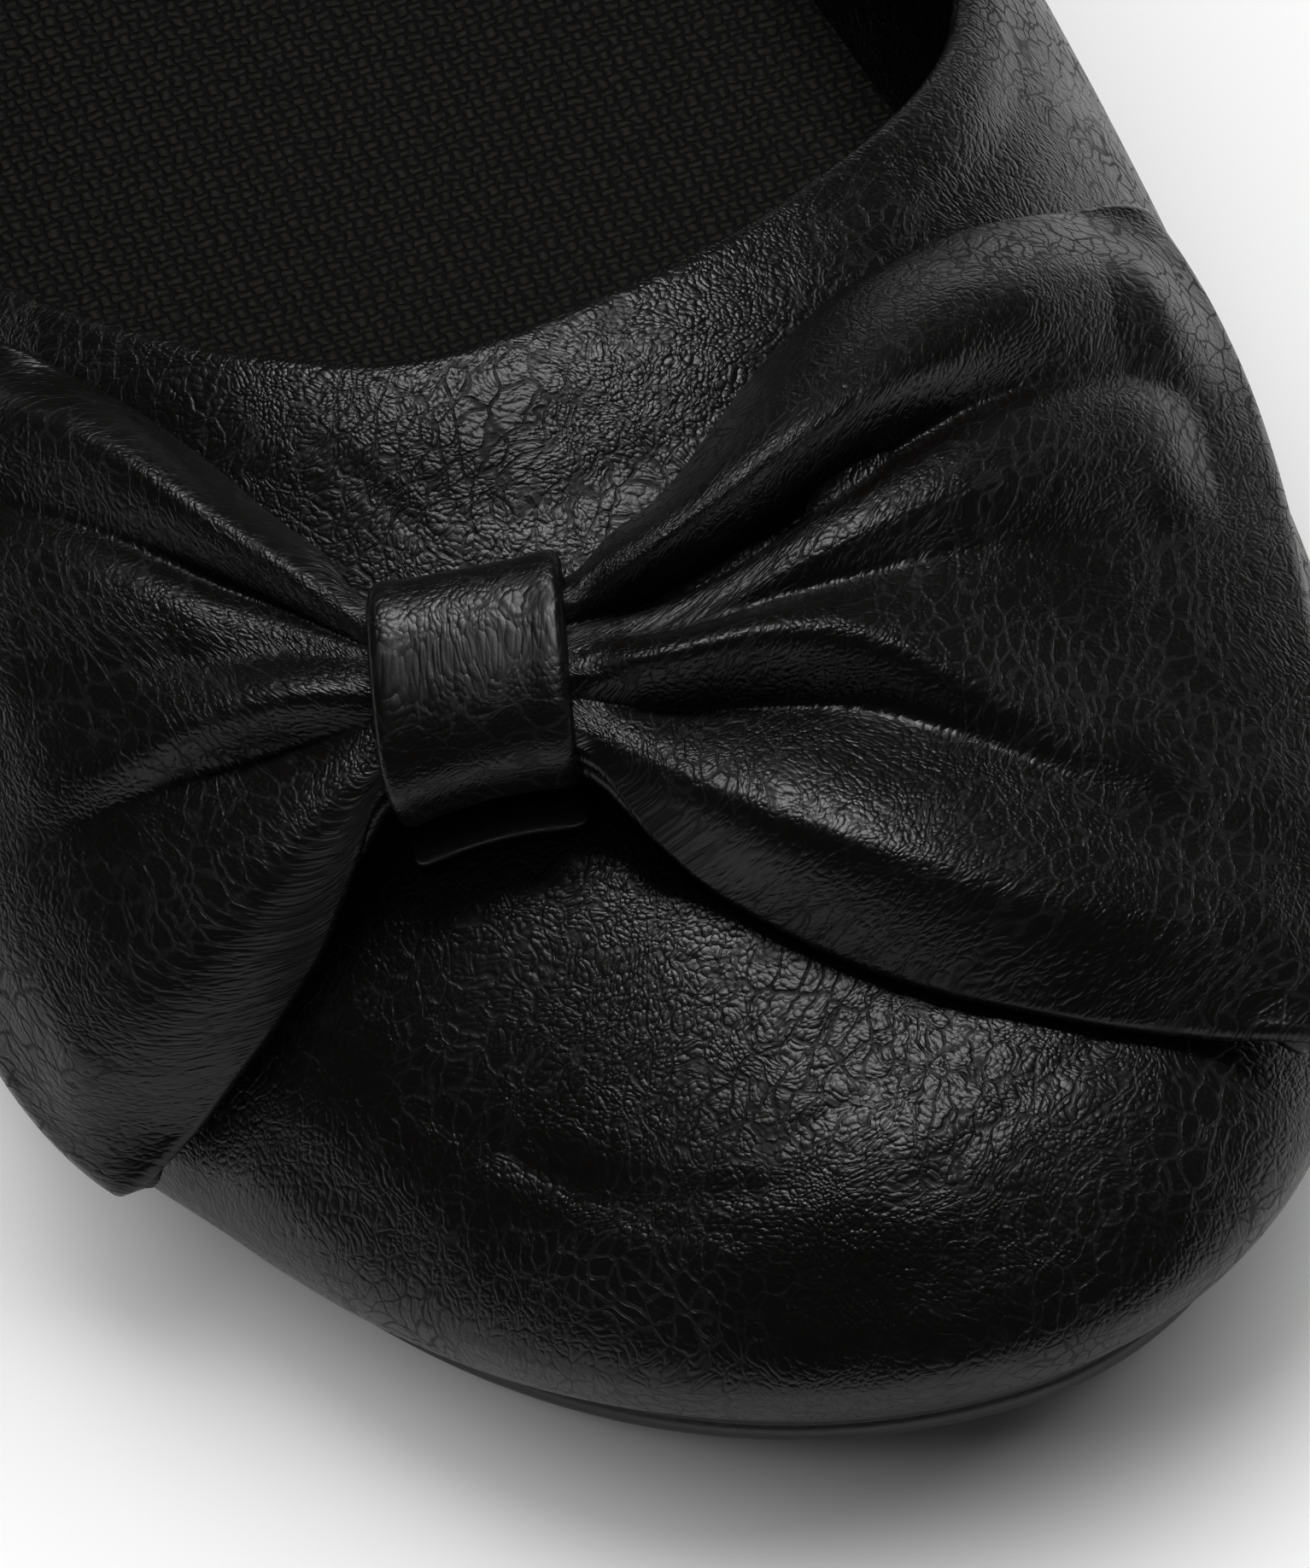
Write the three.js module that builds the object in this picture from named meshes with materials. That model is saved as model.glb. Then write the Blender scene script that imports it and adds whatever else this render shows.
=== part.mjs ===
// A left ballet flat of black grained imitation leather, with a pleated bow on the vamp.
// Millimetres, up +Z, toe towards -Y, lateral side +X. It stands unbent on its sole, and the
// origin is the middle of the heel's flat bottom.
import * as THREE from 'three';

// Driving dimensions of the last
const shoeLength = 248;
const ballWidth = 82;
const instepHeight = 38;
const sideHeight = 28;
const backHeight = 56;
const heelHeight = 9;
const toeSpring = 6.5;
const heelCentreToBack = 26;
const toeRoundLength = 60;
const heelRoundLength = 35;
const noseLength = 12;
const throatStart = 64.9;
const throatRoundLength = 62;
const backLean = 4;

// Thicknesses, edges and the gap between pieces that touch
const upperWall = 1.6;
const soleThickness = 2.4;
const insoleThickness = 2;
const clearance = 0.3;
const tuckDepth = 6.5;
const lastingMargin = 8;
const soleInset = 4.6;
const soleEdgeStep = 0.5;
const heelBlockLength = 54;
const heelBlockTaper = 1.5;

// The bow
const bandTurn = THREE.MathUtils.degToRad(14.5);
const loopTurns = { medial: THREE.MathUtils.degToRad(44), lateral: THREE.MathUtils.degToRad(0) };
const bowCentre = { x: -15.6, fromToe: 44.5 };
const loopLengths = { medial: 35, lateral: 49 };
const loopWidths = { medial: 47, lateral: 54 };
const loopCorners = { medial: 7, lateral: 3 };
const loopPuff = 9;
const foldThickness = 5;
const ribbonWall = 1.3;
const pleatDepth = 1.8;
const pleatCount = 3;
const bandWidth = 10;
const bandLength = 13.2;
const bandHeight = 7.6;
const bandWall = 1.4;
const tabTuck = 1.2;
const tabLength = 2.6;
const tabHeight = 1.3;

// How finely the pieces are faceted
const ribCount = 72;
const ribSteps = 11;
const tuckSteps = 4;
const stripSteps = 10;
const foldSteps = 5;
const loopRows = 16;
const bandSides = 28;

// Widest line of the upper, toe to heel. at is a share of the length, the half widths are
// shares of the ball width, before the toe and heel are rounded.
const widthSections = [
  { at: 0.0, medial: 0.5, lateral: 0.42 },
  { at: 0.135, medial: 0.505, lateral: 0.43 },
  { at: 0.185, medial: 0.53, lateral: 0.445 },
  { at: 0.262, medial: 0.543, lateral: 0.463 },
  { at: 0.343, medial: 0.521, lateral: 0.479 },
  { at: 0.43, medial: 0.455, lateral: 0.478 },
  { at: 0.524, medial: 0.38, lateral: 0.45 },
  { at: 0.645, medial: 0.329, lateral: 0.4 },
  { at: 0.766, medial: 0.335, lateral: 0.36 },
  { at: 0.867, medial: 0.341, lateral: 0.348 },
  { at: 1.0, medial: 0.345, lateral: 0.35 },
];

// The vamp's ridge, toe to instep. height is a share of the instep height, aside is how far
// the ridge lies to the lateral side, as a share of the ball width.
const ridgeSections = [
  { at: 0.0, height: 0.5, aside: 0.0 },
  { at: 0.04, height: 0.575, aside: -0.02 },
  { at: 0.1, height: 0.68, aside: -0.05 },
  { at: 0.16, height: 0.79, aside: -0.08 },
  { at: 0.21, height: 0.885, aside: -0.095 },
  { at: 0.262, height: 1.0, aside: -0.1 },
  { at: 0.35, height: 1.15, aside: -0.07 },
  { at: 0.43, height: 1.27, aside: -0.04 },
  { at: 0.6, height: 1.45, aside: 0.0 },
];

// The throat and collar in plan. half and aside are shares of the ball width.
const throatSections = [
  { at: 0.262, half: 0.45, aside: -0.085 },
  { at: 0.275, half: 0.465, aside: -0.048 },
  { at: 0.29, half: 0.47, aside: -0.03 },
  { at: 0.32, half: 0.473, aside: -0.008 },
  { at: 0.35, half: 0.47, aside: 0.0 },
  { at: 0.42, half: 0.435, aside: 0.012 },
  { at: 0.48, half: 0.395, aside: 0.025 },
  { at: 0.56, half: 0.352, aside: 0.032 },
  { at: 0.66, half: 0.318, aside: 0.024 },
  { at: 0.766, half: 0.308, aside: 0.01 },
  { at: 0.867, half: 0.305, aside: 0.004 },
  { at: 1.0, half: 0.3, aside: 0.0 },
];

// Height of the collar behind the ball: share of the way from the side height to the back's
const collarSections = [
  { at: 0.3, rise: 0.06 },
  { at: 0.44, rise: 0.0 },
  { at: 0.6, rise: 0.04 },
  { at: 0.766, rise: 0.29 },
  { at: 0.9, rise: 0.72 },
  { at: 1.0, rise: 1.0 },
];

// Height of the widest line above the feather edge, as a share of the instep height
const bulgeSections = [
  { at: 0.0, rise: 0.13 },
  { at: 0.15, rise: 0.17 },
  { at: 0.4, rise: 0.22 },
  { at: 0.7, rise: 0.25 },
  { at: 1.0, rise: 0.28 },
];

// How a bow loop fans out, from the band's edge to its fold: share of the way from the half
// width inside the band to the loop's own half width
const loopSections = [
  { at: 0.0, fan: 0.0 },
  { at: 0.1, fan: 0.2 },
  { at: 0.25, fan: 0.48 },
  { at: 0.45, fan: 0.72 },
  { at: 0.65, fan: 0.88 },
  { at: 0.85, fan: 0.98 },
  { at: 1.0, fan: 1.0 },
];

const toeReach = shoeLength - heelCentreToBack;
const collarEnd = shoeLength - backLean;

function mix(a, b, share) {
  return a + (b - a) * share;
}

function ease(from, to, value) {
  const share = THREE.MathUtils.clamp((value - from) / (to - from), 0, 1);
  return share * share * (3 - 2 * share);
}

// A smooth curve through one column of a table
function curve(table, name) {
  const at = table.map((row) => row.at);
  const value = table.map((row) => row[name]);
  const last = at.length - 1;
  const slope = value.map((_, i) => {
    const before = Math.max(i - 1, 0);
    const after = Math.min(i + 1, last);
    return (value[after] - value[before]) / (at[after] - at[before]);
  });
  return (x) => {
    if (x <= at[0]) return value[0];
    if (x >= at[last]) return value[last];
    const i = at.findIndex((edge) => edge > x) - 1;
    const step = at[i + 1] - at[i];
    const t = (x - at[i]) / step;
    const rest = 1 - t;
    return value[i] * (1 + 2 * t) * rest * rest + slope[i] * step * t * rest * rest
      + value[i + 1] * t * t * (3 - 2 * t) - slope[i + 1] * step * t * t * rest;
  };
}

const medialWidth = curve(widthSections, 'medial');
const lateralWidth = curve(widthSections, 'lateral');
const ridgeRise = curve(ridgeSections, 'height');
const ridgeAside = curve(ridgeSections, 'aside');
const throatHalf = curve(throatSections, 'half');
const throatAside = curve(throatSections, 'aside');
const collarRise = curve(collarSections, 'rise');
const bulgeRise = curve(bulgeSections, 'rise');
const loopFan = curve(loopSections, 'fan');

// A quarter ellipse that closes a width over the given length
function rounding(distance, length) {
  const rest = 1 - THREE.MathUtils.clamp(distance / length, 0, 1);
  return Math.sqrt(1 - rest * rest);
}

// fromToe is the distance from the toe tip in all that follows, side is 1 lateral, -1 medial.
function halfWidth(side, fromToe) {
  const share = fromToe / shoeLength;
  const width = side > 0 ? lateralWidth(share) : medialWidth(share);
  const ends = rounding(fromToe, toeRoundLength) * rounding(shoeLength - fromToe, heelRoundLength);
  return ballWidth * width * ends;
}

// Underside of the outsole: toe spring, flat tread, arch and heel seat
const treadStart = shoeLength * 0.22;
const treadEnd = shoeLength * 0.42;
const seatStart = shoeLength * 0.76;

function soleBottom(fromToe) {
  const spring = Math.max(1 - fromToe / treadStart, 0);
  return toeSpring * spring * spring + heelHeight * ease(treadEnd, seatStart, fromToe);
}

function featherHeight(fromToe) {
  return soleBottom(fromToe) + soleThickness + clearance;
}

function widestHeight(fromToe) {
  return featherHeight(fromToe) + instepHeight * bulgeRise(fromToe / shoeLength);
}

// Height of the vamp over any point in plan
const archPower = 0.6;

function vampHeight(x, fromToe) {
  const share = fromToe / shoeLength;
  const low = widestHeight(fromToe);
  const ridge = low + (instepHeight * ridgeRise(share) - low) * rounding(fromToe, noseLength);
  const centre = ballWidth * ridgeAside(share) * rounding(fromToe, toeRoundLength);
  const side = x < centre ? -1 : 1;
  const reach = Math.max(halfWidth(side, fromToe) - side * centre, clearance);
  const across = Math.min(Math.abs(x - centre) / reach, 1);
  return low + (ridge - low) * (1 - across * across) ** archPower;
}

// Places round the shoe: turn runs from the toe (0) by the lateral side to the heel (0.5)
// and back along the medial side.
function sideOf(turn) {
  return turn <= 0.5 ? 1 : -1;
}

function wayBack(turn) {
  return turn <= 0.5 ? turn * 2 : 2 - turn * 2;
}

function cosineShare(way) {
  return (1 - Math.cos(Math.PI * way)) / 2;
}

function outlinePoint(turn) {
  const fromToe = shoeLength * cosineShare(wayBack(turn));
  return new THREE.Vector2(sideOf(turn) * halfWidth(sideOf(turn), fromToe), fromToe);
}

const turnStep = 0.002;

function outlineNormal(turn) {
  const ahead = outlinePoint((turn + turnStep) % 1);
  const behind = outlinePoint((turn - turnStep + 1) % 1);
  const along = ahead.sub(behind).normalize();
  return new THREE.Vector2(along.y, -along.x);
}

function insetPoint(turn, inset) {
  return outlinePoint(turn).addScaledVector(outlineNormal(turn), -inset);
}

// The ribs lean back less at the toe, so that they meet the throat evenly
const ribCrowding = 0.9;

function throatPoint(turn) {
  const way = wayBack(turn);
  const share = way - ribCrowding * way * (1 - way) * (1 - way);
  const fromToe = mix(throatStart, collarEnd, cosineShare(share));
  const at = fromToe / shoeLength;
  const ends = rounding(fromToe - throatStart, throatRoundLength)
    * rounding(collarEnd - fromToe, heelRoundLength);
  const x = ballWidth * (throatAside(at) + sideOf(turn) * throatHalf(at) * ends);
  return new THREE.Vector2(x, fromToe);
}

function place(x, fromToe, z) {
  return new THREE.Vector3(x, fromToe - toeReach, z);
}

// A closed skin over a grid that joins up with itself both ways
function ringSolid(grid) {
  const rows = grid.length;
  const cells = grid[0].length;
  const faces = [];
  for (let i = 0; i < rows; i += 1) {
    for (let j = 0; j < cells; j += 1) {
      const a = i * cells + j;
      const b = ((i + 1) % rows) * cells + j;
      const c = ((i + 1) % rows) * cells + ((j + 1) % cells);
      const d = i * cells + ((j + 1) % cells);
      faces.push([a, b, c], [a, c, d]);
    }
  }
  return closedGeometry(grid.flat(), faces);
}

// A closed skin over a stack of rings, with each end ring filled from side to side
function stackSolid(rings) {
  const count = rings[0].length;
  const faces = [];
  for (let k = 0; k + 1 < rings.length; k += 1) {
    for (let i = 0; i < count; i += 1) {
      const next = (i + 1) % count;
      const a = k * count + i;
      const b = k * count + next;
      faces.push([a, b, b + count], [a, b + count, a + count]);
    }
  }
  const top = (rings.length - 1) * count;
  for (let i = 0; i < count / 2; i += 1) {
    const a = i;
    const b = i + 1;
    const c = (count - i - 1) % count;
    const d = (count - i) % count;
    if (c !== b) faces.push([a, c, b], [top + a, top + b, top + c]);
    if (d !== a) faces.push([a, d, c], [top + a, top + c, top + d]);
  }
  return closedGeometry(rings.flat(), faces);
}

// Indexed geometry with its faces turned outwards
function closedGeometry(points, faces) {
  let volume = 0;
  for (const [a, b, c] of faces) {
    volume += points[a].dot(points[b].clone().cross(points[c]));
  }
  const turned = volume < 0 ? faces.map(([a, b, c]) => [a, c, b]) : faces;
  const geometry = new THREE.BufferGeometry();
  geometry.setFromPoints(points);
  geometry.setIndex(turned.flat());
  geometry.computeVertexNormals();
  return geometry;
}

// Outer skin of the upper at one place round the shoe: margin, tuck, wall, topline
const ribSweep = THREE.MathUtils.degToRad(75);
const rearBlendStart = shoeLength * 0.38;
const rearBlendEnd = shoeLength * 0.56;

function upperRib(turn) {
  const rib = [];
  const wide = outlinePoint(turn);
  const low = widestHeight(wide.y);
  const margin = insetPoint(turn, tuckDepth + lastingMargin);
  rib.push(place(margin.x, margin.y, featherHeight(margin.y)));
  for (let k = 0; k < tuckSteps; k += 1) {
    const angle = (Math.PI / 2) * (k / tuckSteps);
    const p = insetPoint(turn, tuckDepth * (1 - Math.sin(angle)));
    rib.push(place(p.x, p.y, mix(low, featherHeight(p.y), Math.cos(angle))));
  }
  const throat = throatPoint(turn);
  const share = throat.y / shoeLength;
  const collar = mix(sideHeight, backHeight, collarRise(share));
  const rear = ease(rearBlendStart, rearBlendEnd, wide.y);
  for (let k = 0; k <= ribSteps; k += 1) {
    const angle = ribSweep * (k / ribSteps);
    const inwards = (1 - Math.cos(angle)) / (1 - Math.cos(ribSweep));
    const p = wide.clone().lerp(throat, inwards);
    const wallHeight = low + (collar - low) * (Math.sin(angle) / Math.sin(ribSweep));
    rib.push(place(p.x, p.y, mix(vampHeight(p.x, p.y), wallHeight, rear)));
  }
  return rib;
}

// The point moved into the shoe by the wall, square to the outer skin
function innerPoint(ribs, i, j) {
  const count = ribs.length;
  const last = ribs[0].length - 1;
  const across = ribs[(i + 1) % count][j].clone().sub(ribs[(i + count - 1) % count][j]);
  const up = ribs[i][Math.min(j + 1, last)].clone().sub(ribs[i][Math.max(j - 1, 0)]);
  const outwards = across.cross(up).normalize();
  return ribs[i][j].clone().addScaledVector(outwards, -upperWall);
}

function upperGeometry() {
  const ribs = [];
  for (let i = 0; i < ribCount; i += 1) {
    ribs.push(upperRib(i / ribCount));
  }
  const grid = ribs.map((rib, i) => {
    const inner = rib.map((_, j) => innerPoint(ribs, i, j));
    return [...rib, ...inner.reverse()];
  });
  return ringSolid(grid);
}

// A ring round the shoe at an inset, with its height from the place along the shoe
function soleRing(inset, heightAt) {
  const ring = [];
  for (let i = 0; i < ribCount; i += 1) {
    const p = insetPoint(i / ribCount, inset);
    ring.push(place(p.x, p.y, heightAt(p.y)));
  }
  return ring;
}

function outsoleGeometry() {
  const top = (fromToe) => soleBottom(fromToe) + soleThickness;
  const rings = [
    soleRing(soleInset + soleEdgeStep, soleBottom),
    soleRing(soleInset, (fromToe) => soleBottom(fromToe) + soleEdgeStep),
    soleRing(soleInset, (fromToe) => top(fromToe) - soleEdgeStep),
    soleRing(soleInset + soleEdgeStep, top),
  ];
  return stackSolid(rings);
}

function insoleGeometry() {
  const bottom = (fromToe) => featherHeight(fromToe) + upperWall + clearance;
  const top = (fromToe) => bottom(fromToe) + insoleThickness;
  return stackSolid([soleRing(tuckDepth, bottom), soleRing(tuckDepth, top)]);
}

// The heel block: the sole's outline from the breast backwards, drawn in towards the floor
function heelRing(inset, z) {
  const breast = shoeLength - heelBlockLength;
  const sides = [];
  for (let i = 0; i <= ribCount; i += 1) {
    const turn = mix(0.25, 0.75, i / ribCount);
    const p = insetPoint(turn, soleInset + inset);
    if (p.y > breast) sides.push(place(p.x, p.y, z));
  }
  const corner = (side) => place(side * (halfWidth(side, breast) - soleInset - inset), breast, z);
  return [place(0, breast, z), corner(1), ...sides, corner(-1)];
}

function heelGeometry() {
  const rings = [
    heelRing(heelBlockTaper, 0),
    heelRing(heelBlockTaper / 2, heelHeight / 2),
    heelRing(soleEdgeStep, heelHeight - clearance),
  ];
  return stackSolid(rings);
}

// The surface that the bow lies on: the vamp, kept as wide at the toe as under the bow. along
// is measured over the surface from the middle of the bow, across is along the band.
const carrierStandOff = bandWidth;
const carrierArch = 0.98;
const walkStep = bandWidth / 10;
const tiltStep = bandWidth * 0.15;
const nearlyThere = bandWidth / 1e9;
const bandEdge = bandWidth / 2 + clearance;
const sweepEnd = bandWidth * 1.5;

function carrierHeight(x, fromToe) {
  const share = fromToe / shoeLength;
  const low = widestHeight(fromToe);
  const ridge = instepHeight * ridgeRise(share);
  const centre = ballWidth * ridgeAside(share);
  const side = x < centre ? -1 : 1;
  const reach = Math.hypot(halfWidth(side, fromToe), carrierStandOff) - side * centre;
  const over = Math.abs(x - centre) / reach;
  const arch = Math.min(over, carrierArch);
  const rise = (1 - arch * arch) ** archPower;
  const fall = (2 * archPower * arch * rise) / (1 - arch * arch);
  return low + (ridge - low) * (rise - fall * (over - arch));
}

function carrierPoint(along, across) {
  const side = Math.sign(along) || 1;
  const endTurn = side > 0 ? loopTurns.lateral : loopTurns.medial;
  const p = new THREE.Vector2(bowCentre.x, bowCentre.fromToe);
  p.x += across * Math.sin(bandTurn);
  p.y += across * Math.cos(bandTurn);
  let z = carrierHeight(p.x, p.y);
  let walked = 0;
  const goal = Math.abs(along);
  while (goal - walked > nearlyThere) {
    const turn = mix(bandTurn, endTurn, ease(bandEdge, sweepEnd, walked));
    const next = new THREE.Vector2(Math.cos(turn), -Math.sin(turn));
    next.multiplyScalar(side * walkStep).add(p);
    const drop = carrierHeight(next.x, next.y) - z;
    const length = Math.hypot(walkStep, drop);
    const part = Math.min((goal - walked) / length, 1);
    p.lerp(next, part);
    z += drop * part;
    walked += length * part;
  }
  return place(p.x, p.y, z);
}

function overCarrier(along, across, height) {
  const here = carrierPoint(along, across);
  const ahead = carrierPoint(along + tiltStep, across);
  const aside = carrierPoint(along, across + tiltStep);
  ahead.sub(carrierPoint(along - tiltStep, across));
  aside.sub(carrierPoint(along, across - tiltStep));
  return here.addScaledVector(ahead.cross(aside).normalize(), height);
}

function loopLength(side) {
  return side > 0 ? loopLengths.lateral : loopLengths.medial;
}

// Cross-section of a bow loop: out along the bottom layer, round the fold, back on top. The
// loop is shorter at its two corners.
const loopRoot = clearance / 2;
const rootSlack = clearance * 4;
const rootHalf = bandLength / 2 - bandWall - rootSlack;
const rootLow = clearance + bandWall + rootSlack / 2;
const rootHigh = clearance + bandHeight - bandWall - rootSlack / 2;
const gatherEnd = bandEdge * 2;
const cornerPower = 4;

function loopProfile(side, across, shrink) {
  const corner = side > 0 ? loopCorners.lateral : loopCorners.medial;
  const length = loopLength(side) - corner * Math.abs(across) ** cornerPower;
  const end = length - foldThickness / 2;
  const low = (along) => mix(rootLow, clearance, ease(bandEdge, gatherEnd, along));
  const wave = 0.5 - 0.5 * Math.cos(Math.PI * pleatCount * (across + 1));
  const pleats = (along) => pleatDepth * wave * ease(bandEdge, gatherEnd, along)
    * (1 - ease(length / 2, end, along));
  const puff = (along) => mix(rootHigh, loopPuff, ease(bandEdge, length / 2, along));
  const high = (along) => mix(puff(along), foldThickness, ease(length / 2, end, along))
    - pleats(along);
  const stations = [loopRoot + shrink];
  for (let k = 0; k < stripSteps; k += 1) {
    stations.push(mix(bandEdge, end, k / (stripSteps - 1)));
  }
  const profile = stations.map((along) => [along, low(along) + shrink]);
  const middle = (high(end) + low(end)) / 2;
  const radius = (high(end) - low(end)) / 2 - shrink;
  for (let k = 1; k < foldSteps; k += 1) {
    const angle = Math.PI * (k / foldSteps - 0.5);
    profile.push([end + radius * Math.cos(angle), middle + radius * Math.sin(angle)]);
  }
  for (const along of stations.reverse()) {
    profile.push([along, high(along) - shrink]);
  }
  return profile;
}

function loopSkin(side, shrink) {
  const width = side > 0 ? loopWidths.lateral : loopWidths.medial;
  const rows = [];
  for (let k = 0; k <= loopRows; k += 1) {
    const across = (k / loopRows) * 2 - 1;
    rows.push(loopProfile(side, across, shrink).map(([along, height]) => {
      const fan = loopFan((along - bandEdge) / (loopLength(side) - bandEdge));
      const spread = mix(rootHalf, width / 2, fan);
      return overCarrier(side * along, across * spread, height);
    }));
  }
  return rows;
}

function loopGeometry(side) {
  const outer = loopSkin(side, 0);
  const inner = loopSkin(side, ribbonWall);
  return ringSolid([...outer, ...inner.reverse()]);
}

// A squared oval: the band's section round the gathered middle
const bandSquareness = 3;

function bandPoint(angle, along, shrink) {
  const squared = (value) => Math.sign(value) * Math.abs(value) ** (2 / bandSquareness);
  const across = (bandLength / 2 - shrink) * squared(Math.cos(angle));
  const middle = clearance + bandHeight / 2;
  const height = middle + (bandHeight / 2 - shrink) * squared(Math.sin(angle));
  return overCarrier(along, across, height);
}

function bandGeometry() {
  const rim = bandWall / 3;
  const stations = [
    [-bandWidth / 2, rim], [rim - bandWidth / 2, 0], [0, 0], [bandWidth / 2 - rim, 0],
    [bandWidth / 2, rim], [bandWidth / 2, bandWall], [0, bandWall], [-bandWidth / 2, bandWall],
  ];
  const grid = [];
  for (let i = 0; i < bandSides; i += 1) {
    const angle = (2 * Math.PI * i) / bandSides;
    grid.push(stations.map(([along, shrink]) => bandPoint(angle, along, shrink)));
  }
  return ringSolid(grid);
}

// The band's folded end, tucked under its front and lying on the vamp. reach is a share of
// the tab's length from its seam, rise a share of its height.
const tabSections = [
  { reach: 0.0, rise: 0.6 },
  { reach: 0.35, rise: 1.0 },
  { reach: 0.8, rise: 1.0 },
  { reach: 1.0, rise: 0.6 },
];
const tabSteps = 4;

function tabGeometry() {
  const seam = tabTuck - bandLength / 2;
  const section = [[seam - tabLength, clearance], [seam, clearance]];
  for (const { reach, rise } of tabSections) {
    section.push([seam - tabLength * reach, tabHeight * rise]);
  }
  const rings = [];
  for (let k = 0; k <= tabSteps; k += 1) {
    const along = bandWidth * (k / tabSteps - 0.5);
    rings.push(section.map(([across, height]) => overCarrier(along, across, height)));
  }
  return stackSolid(rings);
}

const leather = { color: 0x17171a, roughness: 0.5, metalness: 0 };
const rubber = { color: 0x121212, roughness: 0.75, metalness: 0 };
const canvas = { color: 0x1c1c1e, roughness: 0.95, metalness: 0 };

function piece(name, geometry, finish) {
  const mesh = new THREE.Mesh(geometry, new THREE.MeshStandardMaterial(finish));
  mesh.name = name;
  return mesh;
}

const shoe = new THREE.Group();
shoe.name = 'ballet_flat';
shoe.add(
  piece('outsole', outsoleGeometry(), rubber),
  piece('heel', heelGeometry(), rubber),
  piece('upper', upperGeometry(), leather),
  piece('insole', insoleGeometry(), canvas),
  piece('bow_loop_medial', loopGeometry(-1), leather),
  piece('bow_loop_lateral', loopGeometry(1), leather),
  piece('bow_band', bandGeometry(), leather),
  piece('bow_band_tab', tabGeometry(), leather),
);

export default shoe;
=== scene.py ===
import math

import bpy
import numpy as np
from mathutils import Matrix, Vector


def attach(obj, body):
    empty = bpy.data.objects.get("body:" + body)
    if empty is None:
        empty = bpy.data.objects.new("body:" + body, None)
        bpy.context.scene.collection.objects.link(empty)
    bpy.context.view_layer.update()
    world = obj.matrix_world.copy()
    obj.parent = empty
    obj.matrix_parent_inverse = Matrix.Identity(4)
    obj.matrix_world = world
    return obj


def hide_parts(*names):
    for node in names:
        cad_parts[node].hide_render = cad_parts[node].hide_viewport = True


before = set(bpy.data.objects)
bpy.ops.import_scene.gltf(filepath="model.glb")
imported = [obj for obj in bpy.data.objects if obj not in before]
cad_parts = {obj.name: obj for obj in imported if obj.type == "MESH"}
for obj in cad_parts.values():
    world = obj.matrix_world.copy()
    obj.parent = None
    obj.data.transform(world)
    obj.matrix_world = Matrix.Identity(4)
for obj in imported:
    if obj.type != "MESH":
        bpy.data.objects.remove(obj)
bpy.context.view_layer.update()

MM = 0.001

# Sizes of the last, its sole and its wall, in millimetres
SHOE_LENGTH = 248
BALL_WIDTH = 82
INSTEP_HEIGHT = 38
SIDE_HEIGHT = 28
BACK_HEIGHT = 56
HEEL_HEIGHT = 9
TOE_SPRING = 6.5
HEEL_CENTRE_TO_BACK = 26
TOE_ROUND = 60
HEEL_ROUND = 35
NOSE_LENGTH = 12
THROAT_START = 64.9
THROAT_ROUND = 62
BACK_LEAN = 4
WALL = 1.6
SOLE_THICKNESS = 2.4
GAP = 0.3
TUCK_DEPTH = 6.5
LASTING_MARGIN = 8
SOLE_INSET = 4.6
TOE_REACH = SHOE_LENGTH - HEEL_CENTRE_TO_BACK
COLLAR_END = SHOE_LENGTH - BACK_LEAN
ARCH_POWER = 0.6

# The bow's sizes, in millimetres. Of the loops, -1 is the medial one and 1 the lateral one.
BAND_TURN = math.radians(14.5)
LOOP_TURN = {-1: math.radians(44), 1: 0.0}
BOW_X = -15.6
BOW_FROM_TOE = 44.5
LOOP_LENGTH = {-1: 35, 1: 49}
LOOP_CORNER = {-1: 7, 1: 3}
FOLD_THICKNESS = {-1: 4.6, 1: 4.2}
RIBBON = 1.3
BAND_WIDTH = 10
BAND_LENGTH = 13.2
BAND_HEIGHT = 7.6
BAND_WALL = 1.4
BAND_EDGE = BAND_WIDTH / 2 + GAP
TAB_TUCK = 1.2
TAB_LENGTH = 2.6
TAB_HEIGHT = 1.3

# The surface that the bow lies on: how far it stands off the vamp's widest line, and the share
# of the vamp's arch past which it runs on straight
CARRIER_STAND_OFF = 10
CARRIER_ARCH = 0.98

# Widest line of the upper: share of the length, then medial and lateral half widths
WIDTHS = np.array([
    (0.0, 0.5, 0.42), (0.135, 0.505, 0.43), (0.185, 0.53, 0.445), (0.262, 0.543, 0.463),
    (0.343, 0.521, 0.479), (0.43, 0.455, 0.478), (0.524, 0.38, 0.45), (0.645, 0.329, 0.4),
    (0.766, 0.335, 0.36), (0.867, 0.341, 0.348), (1.0, 0.345, 0.35),
])
# The vamp's ridge: share of the length, height, and how far it lies to the lateral side
RIDGE = np.array([
    (0.0, 0.5, 0.0), (0.04, 0.575, -0.02), (0.1, 0.68, -0.05), (0.16, 0.79, -0.08),
    (0.21, 0.885, -0.095), (0.262, 1.0, -0.1), (0.35, 1.15, -0.07), (0.43, 1.27, -0.04),
    (0.6, 1.45, 0.0),
])
# The throat and collar in plan: share of the length, half width, and the shift of the middle
THROAT = np.array([
    (0.262, 0.46, -0.095), (0.275, 0.477, -0.06), (0.29, 0.484, -0.044), (0.32, 0.487, -0.022),
    (0.35, 0.48, -0.01), (0.42, 0.44, 0.007), (0.48, 0.395, 0.025), (0.56, 0.352, 0.032),
    (0.66, 0.318, 0.024), (0.766, 0.308, 0.01), (0.867, 0.305, 0.004), (1.0, 0.3, 0.0),
])
# Collar height behind the ball: share of the length, share of the way from side to back height
COLLAR = np.array([(0.3, 0.06), (0.44, 0.0), (0.6, 0.04), (0.766, 0.29), (0.9, 0.72), (1.0, 1.0)])
# Height of the widest line over the feather edge
BULGE = np.array([(0.0, 0.13), (0.15, 0.17), (0.4, 0.22), (0.7, 0.25), (1.0, 0.28)])


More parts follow.
